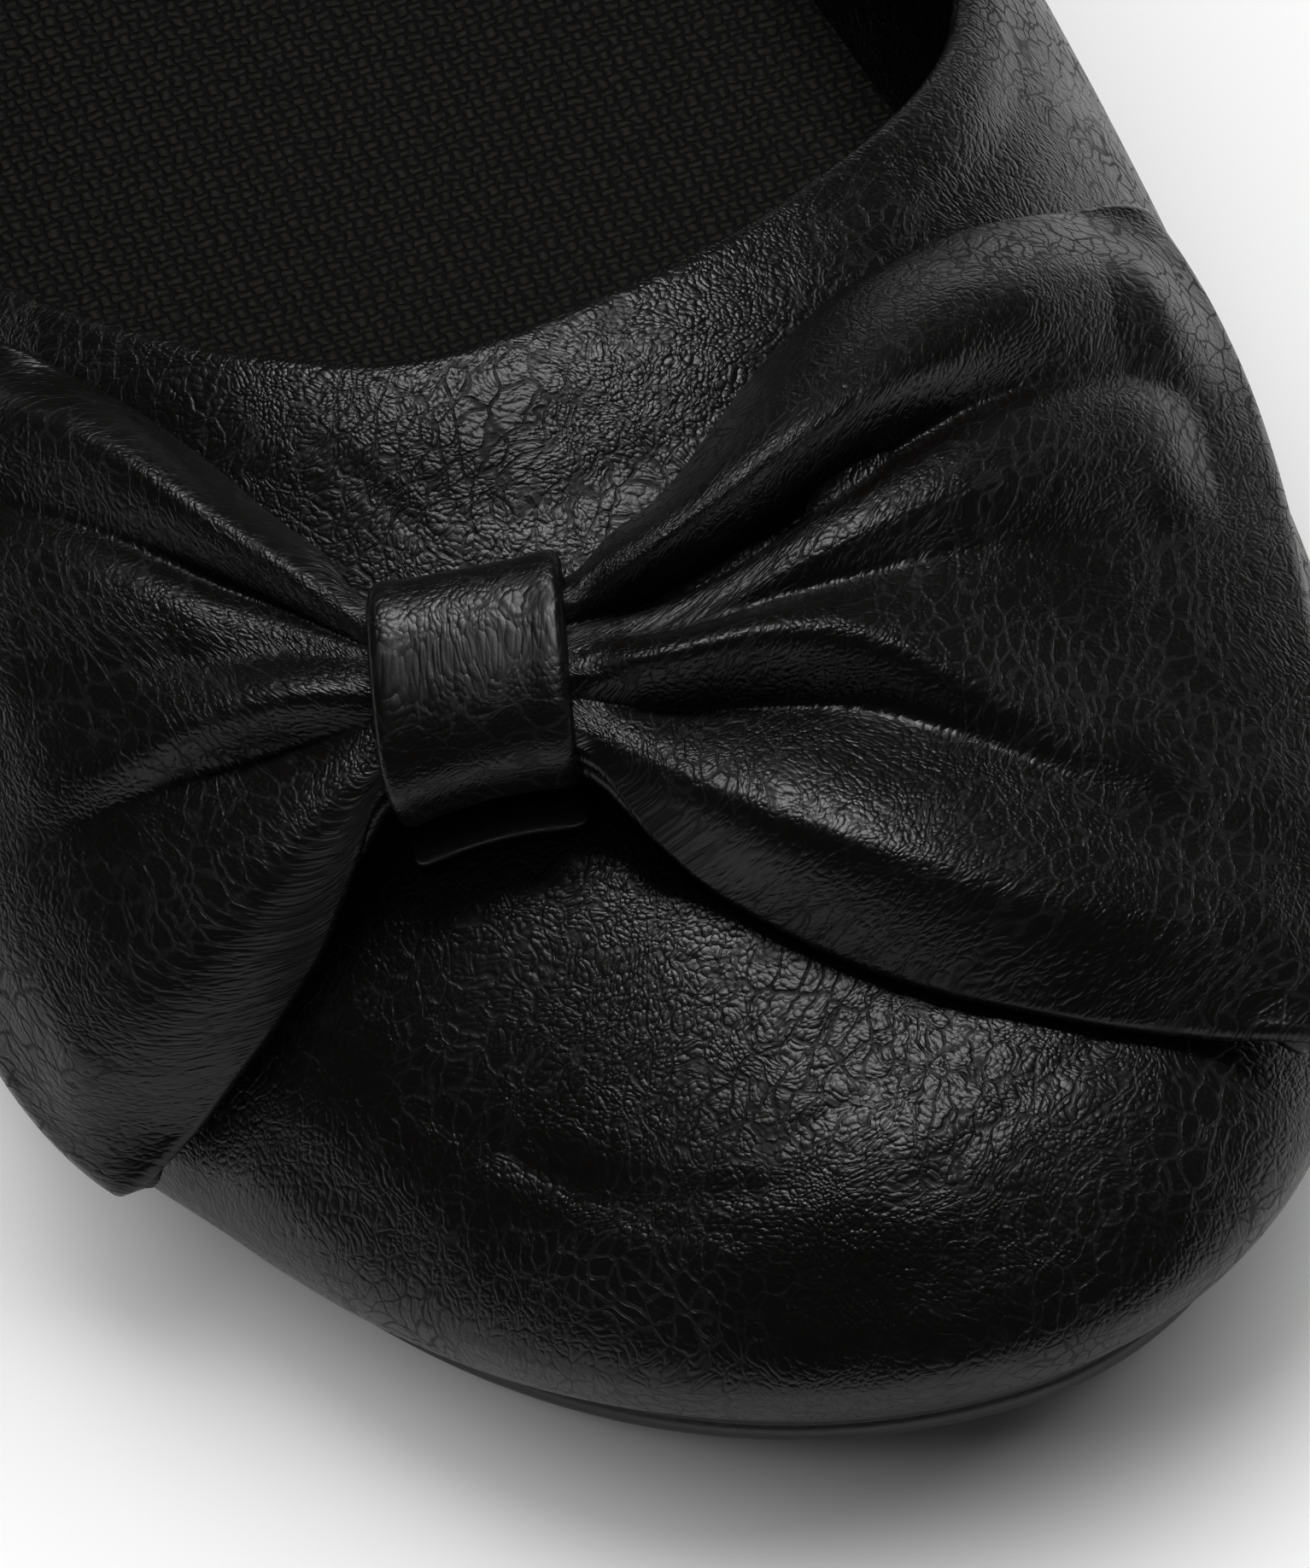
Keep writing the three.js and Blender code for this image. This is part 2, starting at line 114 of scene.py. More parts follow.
def mix(a, b, share):
    return a + (b - a) * share


def ease(start, end, value):
    share = np.clip((value - start) / (end - start), 0, 1)
    return share * share * (3 - 2 * share)


def unit(vectors):
    return vectors / np.maximum(np.linalg.norm(vectors, axis=-1, keepdims=True), 1e-9)


def oval(wave, power):
    """A sine or cosine raised to a power with its sign kept: under 1 it squares the oval."""
    return np.sign(wave) * np.abs(wave) ** power


def curve(table, column=1):
    """A smooth curve through one column of a table, over its first column."""
    at = table[:, 0]
    value = table[:, column]
    last = len(at) - 1
    after = np.minimum(np.arange(last + 1) + 1, last)
    before = np.maximum(np.arange(last + 1) - 1, 0)
    slope = (value[after] - value[before]) / (at[after] - at[before])

    def through(x):
        x = np.clip(x, at[0], at[-1])
        i = np.clip(np.searchsorted(at, x, side="right") - 1, 0, last - 1)
        step = at[i + 1] - at[i]
        t = (x - at[i]) / step
        rest = 1 - t
        return (value[i] * (1 + 2 * t) * rest**2 + slope[i] * step * t * rest**2
                + value[i + 1] * t**2 * (3 - 2 * t) - slope[i + 1] * step * t**2 * rest)
    return through


medial_width = curve(WIDTHS, 1)
lateral_width = curve(WIDTHS, 2)
ridge_height = curve(RIDGE, 1)
ridge_aside = curve(RIDGE, 2)
throat_half = curve(THROAT, 1)
throat_aside = curve(THROAT, 2)
collar_rise = curve(COLLAR)
bulge_rise = curve(BULGE)


def rounding(distance, length):
    rest = 1 - np.clip(distance / length, 0, 1)
    return np.sqrt(1 - rest * rest)


def half_width(side, from_toe):
    share = from_toe / SHOE_LENGTH
    width = np.where(side > 0, lateral_width(share), medial_width(share))
    front = rounding(from_toe, TOE_ROUND)
    rear = rounding(SHOE_LENGTH - from_toe, HEEL_ROUND)
    return BALL_WIDTH * width * front * rear


SPRING_END = SHOE_LENGTH * 0.22
ARCH_START = SHOE_LENGTH * 0.42
ARCH_END = SHOE_LENGTH * 0.76


def sole_bottom(from_toe):
    spring = np.maximum(1 - from_toe / SPRING_END, 0)
    return TOE_SPRING * spring**2 + HEEL_HEIGHT * ease(ARCH_START, ARCH_END, from_toe)


def feather_height(from_toe):
    return sole_bottom(from_toe) + SOLE_THICKNESS + GAP


def widest_height(from_toe):
    return feather_height(from_toe) + INSTEP_HEIGHT * bulge_rise(from_toe / SHOE_LENGTH)


def vamp_height(x, from_toe):
    share = from_toe / SHOE_LENGTH
    low = widest_height(from_toe)
    ridge = low + (INSTEP_HEIGHT * ridge_height(share) - low) * rounding(from_toe, NOSE_LENGTH)
    centre = BALL_WIDTH * ridge_aside(share) * rounding(from_toe, TOE_ROUND)
    side = np.where(x < centre, -1, 1)
    reach = np.maximum(half_width(side, from_toe) - side * centre, GAP)
    across = np.minimum(np.abs(x - centre) / reach, 1)
    return low + (ridge - low) * (1 - across**2) ** ARCH_POWER


def side_and_way(turn):
    """The side of a share of the turn round the shoe, and the share of the way to the heel."""
    return np.where(turn <= 0.5, 1, -1), np.where(turn <= 0.5, turn * 2, 2 - turn * 2)


def outline(turn):
    """Plan points of the widest line: toe at 0, lateral side, heel at 0.5, medial side."""
    side, way = side_and_way(turn)
    from_toe = SHOE_LENGTH * (1 - np.cos(np.pi * way)) / 2
    return np.stack([side * half_width(side, from_toe), from_toe], -1)


def inset(turn, depth):
    """The outline, moved inwards."""
    near = 0.002
    along = unit(outline((turn + near) % 1) - outline((turn - near) % 1))
    out = np.stack([along[..., 1], -along[..., 0]], -1)
    return outline(turn) - out * depth


THROAT_LAG = 0.9


def throat(turn):
    """Plan points of the throat and collar. They lag behind the outline's at the toe."""
    side, way = side_and_way(turn)
    share = way - THROAT_LAG * way * (1 - way) ** 2
    from_toe = mix(THROAT_START, COLLAR_END, (1 - np.cos(np.pi * share)) / 2)
    at = from_toe / SHOE_LENGTH
    front = rounding(from_toe - THROAT_START, THROAT_ROUND)
    rear = rounding(COLLAR_END - from_toe, HEEL_ROUND)
    x = BALL_WIDTH * (throat_aside(at) + side * throat_half(at) * (front * rear))
    return np.stack([x, from_toe], -1)


def place(x, from_toe, z):
    x, from_toe, z = np.broadcast_arrays(x, from_toe, z)
    return np.stack([x, from_toe - TOE_REACH, z], -1)


def carrier_height(x, from_toe):
    """The surface that the bow lies on: the vamp, kept smooth past its widest line."""
    share = from_toe / SHOE_LENGTH
    low = widest_height(from_toe)
    ridge = INSTEP_HEIGHT * ridge_height(share)
    centre = BALL_WIDTH * ridge_aside(share)
    side = np.where(x < centre, -1, 1)
    reach = np.hypot(half_width(side, from_toe), CARRIER_STAND_OFF) - side * centre
    over = np.abs(x - centre) / reach
    arch = np.minimum(over, CARRIER_ARCH)
    rise = (1 - arch**2) ** ARCH_POWER
    fall = 2 * ARCH_POWER * arch * rise / (1 - arch**2)
    return low + (ridge - low) * (rise - fall * (over - arch))


# The bow's own measure on that surface: across the bow, and outwards from its middle
ACROSS = np.linspace(-34, 34, 137)
ALONG = np.linspace(0, 62, 249)
WALK_STEP = 0.2


def lay_out(side):
    """Paths over the vamp from the middle of the bow, one for each place along the band."""
    x = BOW_X + ACROSS * math.sin(BAND_TURN)
    y = BOW_FROM_TOE + ACROSS * math.cos(BAND_TURN)
    z = carrier_height(x, y)
    walked = np.zeros_like(x)
    trail = [(walked, x, y, z)]
    while walked.min() < ALONG[-1]:
        turn = mix(BAND_TURN, LOOP_TURN[side], ease(BAND_EDGE, BAND_WIDTH * 1.5, walked))
        x = x + side * WALK_STEP * np.cos(turn)
        y = y - side * WALK_STEP * np.sin(turn)
        level = carrier_height(x, y)
        walked = walked + np.hypot(WALK_STEP, level - z)
        z = level
        trail.append((walked, x, y, z))
    trail = np.array(trail)
    points = np.empty((len(ACROSS), len(ALONG), 3))
    for i in range(len(ACROSS)):
        for axis in range(3):
            points[i, :, axis] = np.interp(ALONG, trail[:, 0, i], trail[:, axis + 1, i])
    points[..., 1] -= TOE_REACH
    ahead = np.gradient(points, axis=1)
    aside = np.gradient(points, axis=0)
    return points, unit(np.cross(ahead, aside) * side)


LAID = {side: lay_out(side) for side in (-1, 1)}


def sample(grid, i, j):
    """Reads a grid between its points."""
    i = np.clip(i, 0, grid.shape[0] - 1.001)
    j = np.clip(j, 0, grid.shape[1] - 1.001)
    i0 = i.astype(int)
    j0 = j.astype(int)
    fi = (i - i0)[..., None]
    fj = (j - j0)[..., None]
    near = grid[i0, j0] * (1 - fj) + grid[i0, j0 + 1] * fj
    far = grid[i0 + 1, j0] * (1 - fj) + grid[i0 + 1, j0 + 1] * fj
    return near * (1 - fi) + far * fi


def over_vamp(side, along, across, height):
    """A point over the vamp, in the bow's own measure. along counts outwards on that side."""
    along, across, height = np.broadcast_arrays(along, across, height)
    points, normals = LAID[side]
    i = (across - ACROSS[0]) / (ACROSS[1] - ACROSS[0])
    j = along / (ALONG[1] - ALONG[0])
    return sample(points, i, j) + sample(normals, i, j) * height[..., None]


def over_both(along, across, height):
    """A point over the vamp where along runs through the bow's middle, to the lateral side."""
    along, across, height = np.broadcast_arrays(along, across, height)
    lateral = over_vamp(1, np.abs(along), across, height)
    medial = over_vamp(-1, np.abs(along), across, height)
    return np.where(along[..., None] >= 0, lateral, medial)


LINE_FINENESS = 12
LINE_FADE_IN = 0.12
LINE_FADE_OUT = 0.75


def soft_line(along, across, points, widths, height):
    """A soft ridge, or a trough where height is negative, along a given curve."""
    points = np.array(points, float)
    knots = np.linspace(0, 1, len(points))
    fine = np.linspace(0, 1, LINE_FINENESS * len(points))
    line_a = curve(np.stack([knots, points[:, 0]], -1))(fine)
    line_q = curve(np.stack([knots, points[:, 1]], -1))(fine)
    far = np.full(along.shape, 1e6)
    where = np.zeros(along.shape)
    for share, a, q in zip(fine, line_a, line_q):
        d = (along - a) ** 2 + (across - q) ** 2
        closer = d < far
        far = np.where(closer, d, far)
        where = np.where(closer, share, where)
    width = mix(widths[0], widths[1], where)
    fade = ease(0, LINE_FADE_IN, where) * (1 - ease(LINE_FADE_OUT, 1.0, where))
    return height * fade * np.exp(-far / width**2)


def skin_normals(grid):
    """Unit normals of a grid that closes on itself by rows and has two edges by columns."""
    ahead = np.roll(grid, -1, 0) - np.roll(grid, 1, 0)
    return unit(np.cross(ahead, np.gradient(grid, axis=1)))


def make_piece(name, points, polygons, material, coords=None):
    """Makes a mesh object from points in millimetres. coords give a pattern's own flat measure."""
    points = np.asarray(points, float).reshape(-1, 3) * MM
    mesh = bpy.data.meshes.new(name)
    mesh.from_pydata(points.tolist(), [], polygons)
    mesh.validate()
    mesh.materials.append(material)
    if coords is not None:
        flat = np.asarray(coords, float).reshape(-1, 2) * MM
        layer = mesh.uv_layers.new(name="flat")
        corners = np.empty(len(mesh.loops), int)
        mesh.loops.foreach_get("vertex_index", corners)
        layer.data.foreach_set("uv", flat[corners].ravel())
    mesh.polygons.foreach_set("use_smooth", [True] * len(mesh.polygons))
    mesh.update()
    piece = bpy.data.objects.new(name, mesh)
    bpy.context.scene.collection.objects.link(piece)
    return piece


def closed_faces(rows, columns, flip=False):
    """Quads of a grid that closes on itself both ways."""
    i, j = np.meshgrid(np.arange(rows), np.arange(columns), indexing="ij")
    near = (i + 1) % rows
    next_j = (j + 1) % columns
    quads = [i * columns + j, near * columns + j, near * columns + next_j, i * columns + next_j]
    if flip:
        quads = quads[::-1]
    return np.stack(quads, -1).reshape(-1, 4)


def volume(points, faces):
    """Signed volume of a closed mesh: positive when its faces point outwards."""
    points = points.reshape(-1, 3)
    a, b, c, d = (points[faces[:, k]] for k in range(4))
    halves = (np.einsum("ij,ij->i", a, np.cross(b, c)), np.einsum("ij,ij->i", a, np.cross(c, d)))
    return (halves[0] + halves[1]).sum() / 6


def closed_grid(name, points, material, coords=None):
    rows, columns = points.shape[:2]
    faces = closed_faces(rows, columns)
    if volume(points, faces) < 0:
        faces = closed_faces(rows, columns, flip=True)
    return make_piece(name, points, faces.tolist(), material, coords)


def stacked_rings(name, rings, material):
    """A solid between rings of the same count, with caps of strips from side to side."""
    rings = np.stack(rings)
    levels, count = rings.shape[:2]
    faces = []
    for low in np.arange(levels - 1) * count:
        i = np.arange(count)
        j = (i + 1) % count
        faces.append(np.stack([low + i, low + j, low + count + j, low + count + i], -1))
    half = count // 2
    i = np.arange(1, half - 1)
    strips = np.stack([i, count - i, count - i - 1, i + 1], -1)
    ends = np.array([(0, count - 1, 1, 1), (half - 1, half + 1, half, half)])
    cap = np.concatenate([strips, ends])
    faces.append(cap)
    faces.append(cap[:, ::-1] + (levels - 1) * count)
    faces = np.concatenate(faces)
    if volume(rings, faces) < 0:
        faces = faces[:, ::-1]
    polygons = [list(dict.fromkeys(face)) for face in faces.tolist()]
    return make_piece(name, rings, polygons, material)


# Materials

def srgb(code):
    """Linear colour from an sRGB hex value."""
    parts = [int(code[k:k + 2], 16) / 255 for k in (1, 3, 5)]
    linear = [c / 12.92 if c <= 0.04045 else ((c + 0.055) / 1.055) ** 2.4 for c in parts]
    return (*linear, 1.0)


def add(tree, kind, settings=None, links=None):
    """Adds a node with its settings and links. Whole numbers name inputs by their place."""
    node = tree.nodes.new(kind)
    for key, value in (settings or {}).items():
        if isinstance(key, int) or key in node.inputs:
            node.inputs[key].default_value = value
        else:
            setattr(node, key, value)
    for key, source in (links or {}).items():
        tree.links.new(source, node.inputs[key])
    return node


def new_material(name):
    material = bpy.data.materials.new(name)
    material.use_nodes = True
    tree = material.node_tree
    tree.nodes.clear()
    return material, tree


def per_mm(size):
    """Texture scale whose features measure size millimetres on coordinates in metres."""
    return 1 / (size * MM)


def wander(tree, source, start, size, detail, reach):
    """Moves a pattern's coordinates about by a noise whose drifts are size millimetres wide."""
    drift = add(tree, "ShaderNodeTexNoise", {"Scale": per_mm(size), "Detail": detail},
                {"Vector": source})
    centred = add(tree, "ShaderNodeVectorMath", {"operation": "SUBTRACT", 1: (0.5, 0.5, 0.5)},
                  {0: drift.outputs["Color"]})
    moved = add(tree, "ShaderNodeVectorMath",
                {"operation": "MULTIPLY_ADD", 1: (2 * reach * MM,) * 3},
                {0: centred.outputs[0], 2: start})
    return moved.outputs[0]


# Patterns of the imitation leather, in millimetres, and how much longer a crease is than wide
LEATHER_DRIFTS = ((9, 2.4), (1.6, 0.5))
CREASE_CELL = 1.15
CREASE_STRETCH = 2.2
PULL_LENGTH = 1.3
PATCH_WIDTH = 11
PORE_WIDTH = 0.2
# The square of a pebble cell's distance times this is about one at the cell's edge
PEBBLE_RISE = 2.6


def coated_leather(name, on_flat, grain, relief, creasing, turn):
    """Imitation leather: a polyurethane skin embossed with fine grain over a knit.

    The eye sees near-black pebbles with a satin sheen on their crests, and wandering creases whose
    colour is darkened by painted shading.
    grain is a pebble's width, relief its height and creasing the creases' depth, in
    millimetres. The creases run long in the turned direction.
    """
    material, tree = new_material(name)
    coord = add(tree, "ShaderNodeTexCoord")
    source = coord.outputs["UV" if on_flat else "Object"]
    bent = source
    for size, reach in LEATHER_DRIFTS:
        bent = wander(tree, source, bent, size, 1.0, reach)
    long_way = add(tree, "ShaderNodeMapping",
                   {"vector_type": "TEXTURE", "Rotation": (0, 0, turn),
                    "Scale": (1, CREASE_STRETCH, 1)}, {"Vector": bent})
    pebbles = add(tree, "ShaderNodeTexVoronoi",
                  {"feature": "F1", "Scale": per_mm(grain), "Randomness": 1.0},
                  {"Vector": bent})
    domes = add(tree, "ShaderNodeMath", {"operation": "POWER", 1: 2.0},
                {0: pebbles.outputs["Distance"]})
    creases = add(tree, "ShaderNodeTexVoronoi",
                  {"feature": "DISTANCE_TO_EDGE", "Scale": per_mm(CREASE_CELL), "Randomness": 1.0},
                  {"Vector": long_way.outputs[0]})
    crease = add(tree, "ShaderNodeMapRange",
                 {"From Min": 0.0, "From Max": 0.1, "To Min": 1.0, "To Max": 0.0,
                  "interpolation_type": "SMOOTHSTEP"}, {"Value": creases.outputs["Distance"]})
    pulls = add(tree, "ShaderNodeTexNoise",
                {"Scale": per_mm(PULL_LENGTH), "Detail": 3.0, "Roughness": 0.6},
                {"Vector": long_way.outputs[0]})
    patches = add(tree, "ShaderNodeTexNoise", {"Scale": per_mm(PATCH_WIDTH), "Detail": 2.0},
                  {"Vector": source})
    patch = add(tree, "ShaderNodeMapRange", {"From Min": 0.36, "From Max": 0.64, "To Min": 0.15},
                {"Value": patches.outputs["Fac"]})
    pores = add(tree, "ShaderNodeTexNoise",
                {"Scale": per_mm(PORE_WIDTH), "Detail": 2.0, "Roughness": 0.6},
                {"Vector": source})
    crease_and_painted_shade = add(tree, "ShaderNodeMath", {"operation": "MULTIPLY"},
               {0: crease.outputs[0], 1: patch.outputs[0]})
    with_pebbles = add(tree, "ShaderNodeMath", {"operation": "MULTIPLY", 1: -PEBBLE_RISE * relief},
                       {0: domes.outputs[0]})
    with_creases = add(tree, "ShaderNodeMath", {"operation": "MULTIPLY_ADD", 1: -creasing},
                       {0: crease_and_painted_shade.outputs[0], 2: with_pebbles.outputs[0]})
    with_pulls = add(tree, "ShaderNodeMath", {"operation": "MULTIPLY_ADD", 1: 0.6 * creasing},
                     {0: pulls.outputs["Fac"], 2: with_creases.outputs[0]})
    height = add(tree, "ShaderNodeMath", {"operation": "MULTIPLY_ADD", 1: 0.8 * relief},
                 {0: pores.outputs["Fac"], 2: with_pulls.outputs[0]})
    bump = add(tree, "ShaderNodeBump", {"Strength": 1.0, "Distance": MM},
               {"Height": height.outputs[0]})
    # Painted shading: the colour darkens to near black along the creases, by the same mask that
    # deepens and roughens them.
    colour = add(tree, "ShaderNodeMix",
                 {"data_type": "RGBA", 6: srgb("#0d0b0a"), 7: srgb("#040404")},
                 {0: crease_and_painted_shade.outputs[0]})
    gloss = add(tree, "ShaderNodeMapRange",
                {"From Min": 0.3, "From Max": 0.7, "To Min": 0.25, "To Max": 0.37},
                {"Value": patches.outputs["Fac"]})
    dull = add(tree, "ShaderNodeMix", {"data_type": "FLOAT", 3: 0.7},
               {0: crease_and_painted_shade.outputs[0], 2: gloss.outputs[0]})
    shader = add(tree, "ShaderNodeBsdfPrincipled", {"IOR": 1.34},
                 {"Base Color": colour.outputs[2], "Roughness": dull.outputs[0],
                  "Normal": bump.outputs[0]})
    add(tree, "ShaderNodeOutputMaterial", links={"Surface": shader.outputs[0]})
    return material


# Spacing of the canvas's threads across and along the shoe, in millimetres
CANVAS_THREADS = (0.9, 0.72)
SLUB_LENGTH = 0.5
CANVAS_RELIEF = 0.13


def woven_canvas(name):
    """Plain-woven cotton canvas: matt black threads with slubs, with a painted highlight in the
    colour of their crowns and painted shading between them.
    """
    material, tree = new_material(name)
    coord = add(tree, "ShaderNodeTexCoord")
    source = coord.outputs["Object"]
    bent = wander(tree, source, source, 2, 2.0, 0.45)
    parts = add(tree, "ShaderNodeSeparateXYZ", links={0: bent})
    waves = []
    for axis, spacing in enumerate(CANVAS_THREADS):
        turns = add(tree, "ShaderNodeMath",
                    {"operation": "MULTIPLY", 1: math.pi * per_mm(spacing)},
                    {0: parts.outputs[axis]})
        waves.append(add(tree, "ShaderNodeMath", {"operation": "SINE"}, {0: turns.outputs[0]}))
    crossing = add(tree, "ShaderNodeMath", {"operation": "MULTIPLY"},
                   {0: waves[0].outputs[0], 1: waves[1].outputs[0]})
    over = add(tree, "ShaderNodeMapRange", {"From Min": -0.15, "From Max": 0.15},
               {"Value": crossing.outputs[0]})
    round_ones = [add(tree, "ShaderNodeMath", {"operation": "ABSOLUTE"}, {0: wave.outputs[0]})
                  for wave in waves]
    threads = add(tree, "ShaderNodeMix", {"data_type": "FLOAT"},
                  {0: over.outputs[0], 2: round_ones[0].outputs[0], 3: round_ones[1].outputs[0]})
    slubs = add(tree, "ShaderNodeTexNoise", {"Scale": per_mm(SLUB_LENGTH), "Detail": 3.0},
                {"Vector": source})
    height = add(tree, "ShaderNodeMath", {"operation": "MULTIPLY_ADD", 1: 1.3},
                 {0: slubs.outputs["Fac"], 2: threads.outputs[0]})
    bump = add(tree, "ShaderNodeBump", {"Strength": 1.0, "Distance": CANVAS_RELIEF * MM},
               {"Height": height.outputs[0]})
    # Painted highlight and shading: the colour lightens on the highest thread crowns and slubs and
    # stays near black between them.
    painted_crown_light = add(tree, "ShaderNodeMapRange", {"From Min": 1.25, "From Max": 1.9},
                {"Value": height.outputs[0]})
    colour = add(tree, "ShaderNodeMix",
                 {"data_type": "RGBA", 6: srgb("#020202"), 7: srgb("#282623")},
                 {0: painted_crown_light.outputs[0]})
    shader = add(tree, "ShaderNodeBsdfPrincipled",
                 {"Roughness": 0.8, "IOR": 1.45, "Specular IOR Level": 0.2},
                 {"Base Color": colour.outputs[2], "Normal": bump.outputs[0]})
    add(tree, "ShaderNodeOutputMaterial", links={"Surface": shader.outputs[0]})
    return material


def moulded_rubber(name):
    """Moulded thermoplastic rubber: an even dark skin, dull satin, with a fine mould texture."""
    material, tree = new_material(name)
    coord = add(tree, "ShaderNodeTexCoord")
    fine = add(tree, "ShaderNodeTexNoise", {"Scale": per_mm(0.35), "Detail": 3.0},
               {"Vector": coord.outputs["Object"]})
    scuffs = add(tree, "ShaderNodeTexNoise", {"Scale": per_mm(7), "Detail": 4.0},
                 {"Vector": coord.outputs["Object"]})
    bump = add(tree, "ShaderNodeBump", {"Strength": 1.0, "Distance": 0.03 * MM},
               {"Height": fine.outputs["Fac"]})
    rough = add(tree, "ShaderNodeMapRange",
                {"From Min": 0.3, "From Max": 0.7, "To Min": 0.38, "To Max": 0.55},
                {"Value": scuffs.outputs["Fac"]})
    colour = add(tree, "ShaderNodeMix",
                 {"data_type": "RGBA", 6: srgb("#0e0d0d"), 7: srgb("#191817")},
                 {0: scuffs.outputs["Fac"]})
    shader = add(tree, "ShaderNodeBsdfPrincipled", {"IOR": 1.5},
                 {"Base Color": colour.outputs[2], "Roughness": rough.outputs[0],
                  "Normal": bump.outputs[0]})
    add(tree, "ShaderNodeOutputMaterial", links={"Surface": shader.outputs[0]})
    return material


def spun_thread(name):
    """Bonded polyester thread: tight black ply with a slight shine."""
    material, tree = new_material(name)
    coord = add(tree, "ShaderNodeTexCoord")
    ply = add(tree, "ShaderNodeTexNoise", {"Scale": per_mm(0.2), "Detail": 1.0},
              {"Vector": coord.outputs["Object"]})
    bump = add(tree, "ShaderNodeBump", {"Strength": 1.0, "Distance": 0.05 * MM},
               {"Height": ply.outputs["Fac"]})
    colour = add(tree, "ShaderNodeMix",
                 {"data_type": "RGBA", 6: srgb("#0a0a0a"), 7: srgb("#1b1a1a")},
                 {0: ply.outputs["Fac"]})
    shader = add(tree, "ShaderNodeBsdfPrincipled", {"Roughness": 0.5, "IOR": 1.5},
                 {"Base Color": colour.outputs[2], "Normal": bump.outputs[0]})
    add(tree, "ShaderNodeOutputMaterial", links={"Surface": shader.outputs[0]})
    return material


def painted_board(name):
    """Matt white painted board under the shoe."""
    material, tree = new_material(name)
    shader = add(tree, "ShaderNodeBsdfPrincipled",
                 {"Base Color": srgb("#f4f4f4"), "Roughness": 0.9, "Specular IOR Level": 0.1})
    add(tree, "ShaderNodeOutputMaterial", links={"Surface": shader.outputs[0]})
    return material


# Only the upper's pattern isn't laid on a flat measure of its own skin
vamp_leather = coated_leather("grained imitation leather of the upper", on_flat=False,
                              grain=0.34, relief=0.02, creasing=0.045, turn=math.radians(-40))
bow_leather = coated_leather("grained imitation leather of the bow", on_flat=True,
                             grain=0.34, relief=0.018, creasing=0.033, turn=math.radians(12))
band_leather = coated_leather("grained imitation leather of the band", on_flat=True,
                              grain=0.3, relief=0.014, creasing=0.008, turn=math.radians(-52))
tab_leather = coated_leather("smooth imitation leather of the tab", on_flat=True,
                             grain=0.3, relief=0.005, creasing=0.004, turn=0)
canvas = woven_canvas("black cotton canvas")
rubber = moulded_rubber("moulded black rubber")
thread = spun_thread("black polyester thread")

# Upper. Its rows run from the lasting margin, round the tuck and up the wall to the topline.

RIBS = 640
TUCK_ROWS = 8
WALL_ROWS = 104
RIM_ROWS = 8
INNER_ROWS = 16
WALL_SWEEP = math.radians(75)
QUARTER_START = 0.38 * SHOE_LENGTH
QUARTER_END = 0.56 * SHOE_LENGTH


def upper_rows():
    """The outer skin. In front it lies on the vamp, and behind it leans in to the collar."""
    turn = np.arange(RIBS) / RIBS
    wide = outline(turn)
    low = widest_height(wide[:, 1])
    margin = inset(turn, TUCK_DEPTH + LASTING_MARGIN)
    rows = [place(margin[:, 0], margin[:, 1], feather_height(margin[:, 1]))]
    for k in range(TUCK_ROWS):
        angle = math.pi / 2 * k / TUCK_ROWS
        p = inset(turn, TUCK_DEPTH * (1 - math.sin(angle)))
        rows.append(place(p[:, 0], p[:, 1], mix(low, feather_height(p[:, 1]), math.cos(angle))))
    edge = throat(turn)
    collar = mix(SIDE_HEIGHT, BACK_HEIGHT, collar_rise(edge[:, 1] / SHOE_LENGTH))
    rear = ease(QUARTER_START, QUARTER_END, wide[:, 1])
    for k in range(WALL_ROWS + 1):
        angle = WALL_SWEEP * k / WALL_ROWS
        p = mix(wide, edge, (1 - math.cos(angle)) / (1 - math.cos(WALL_SWEEP)))
        wall = low + (collar - low) * math.sin(angle) / math.sin(WALL_SWEEP)
        rows.append(place(p[:, 0], p[:, 1], mix(vamp_height(p[:, 0], p[:, 1]), wall, rear)))
    return np.stack(rows, 1)
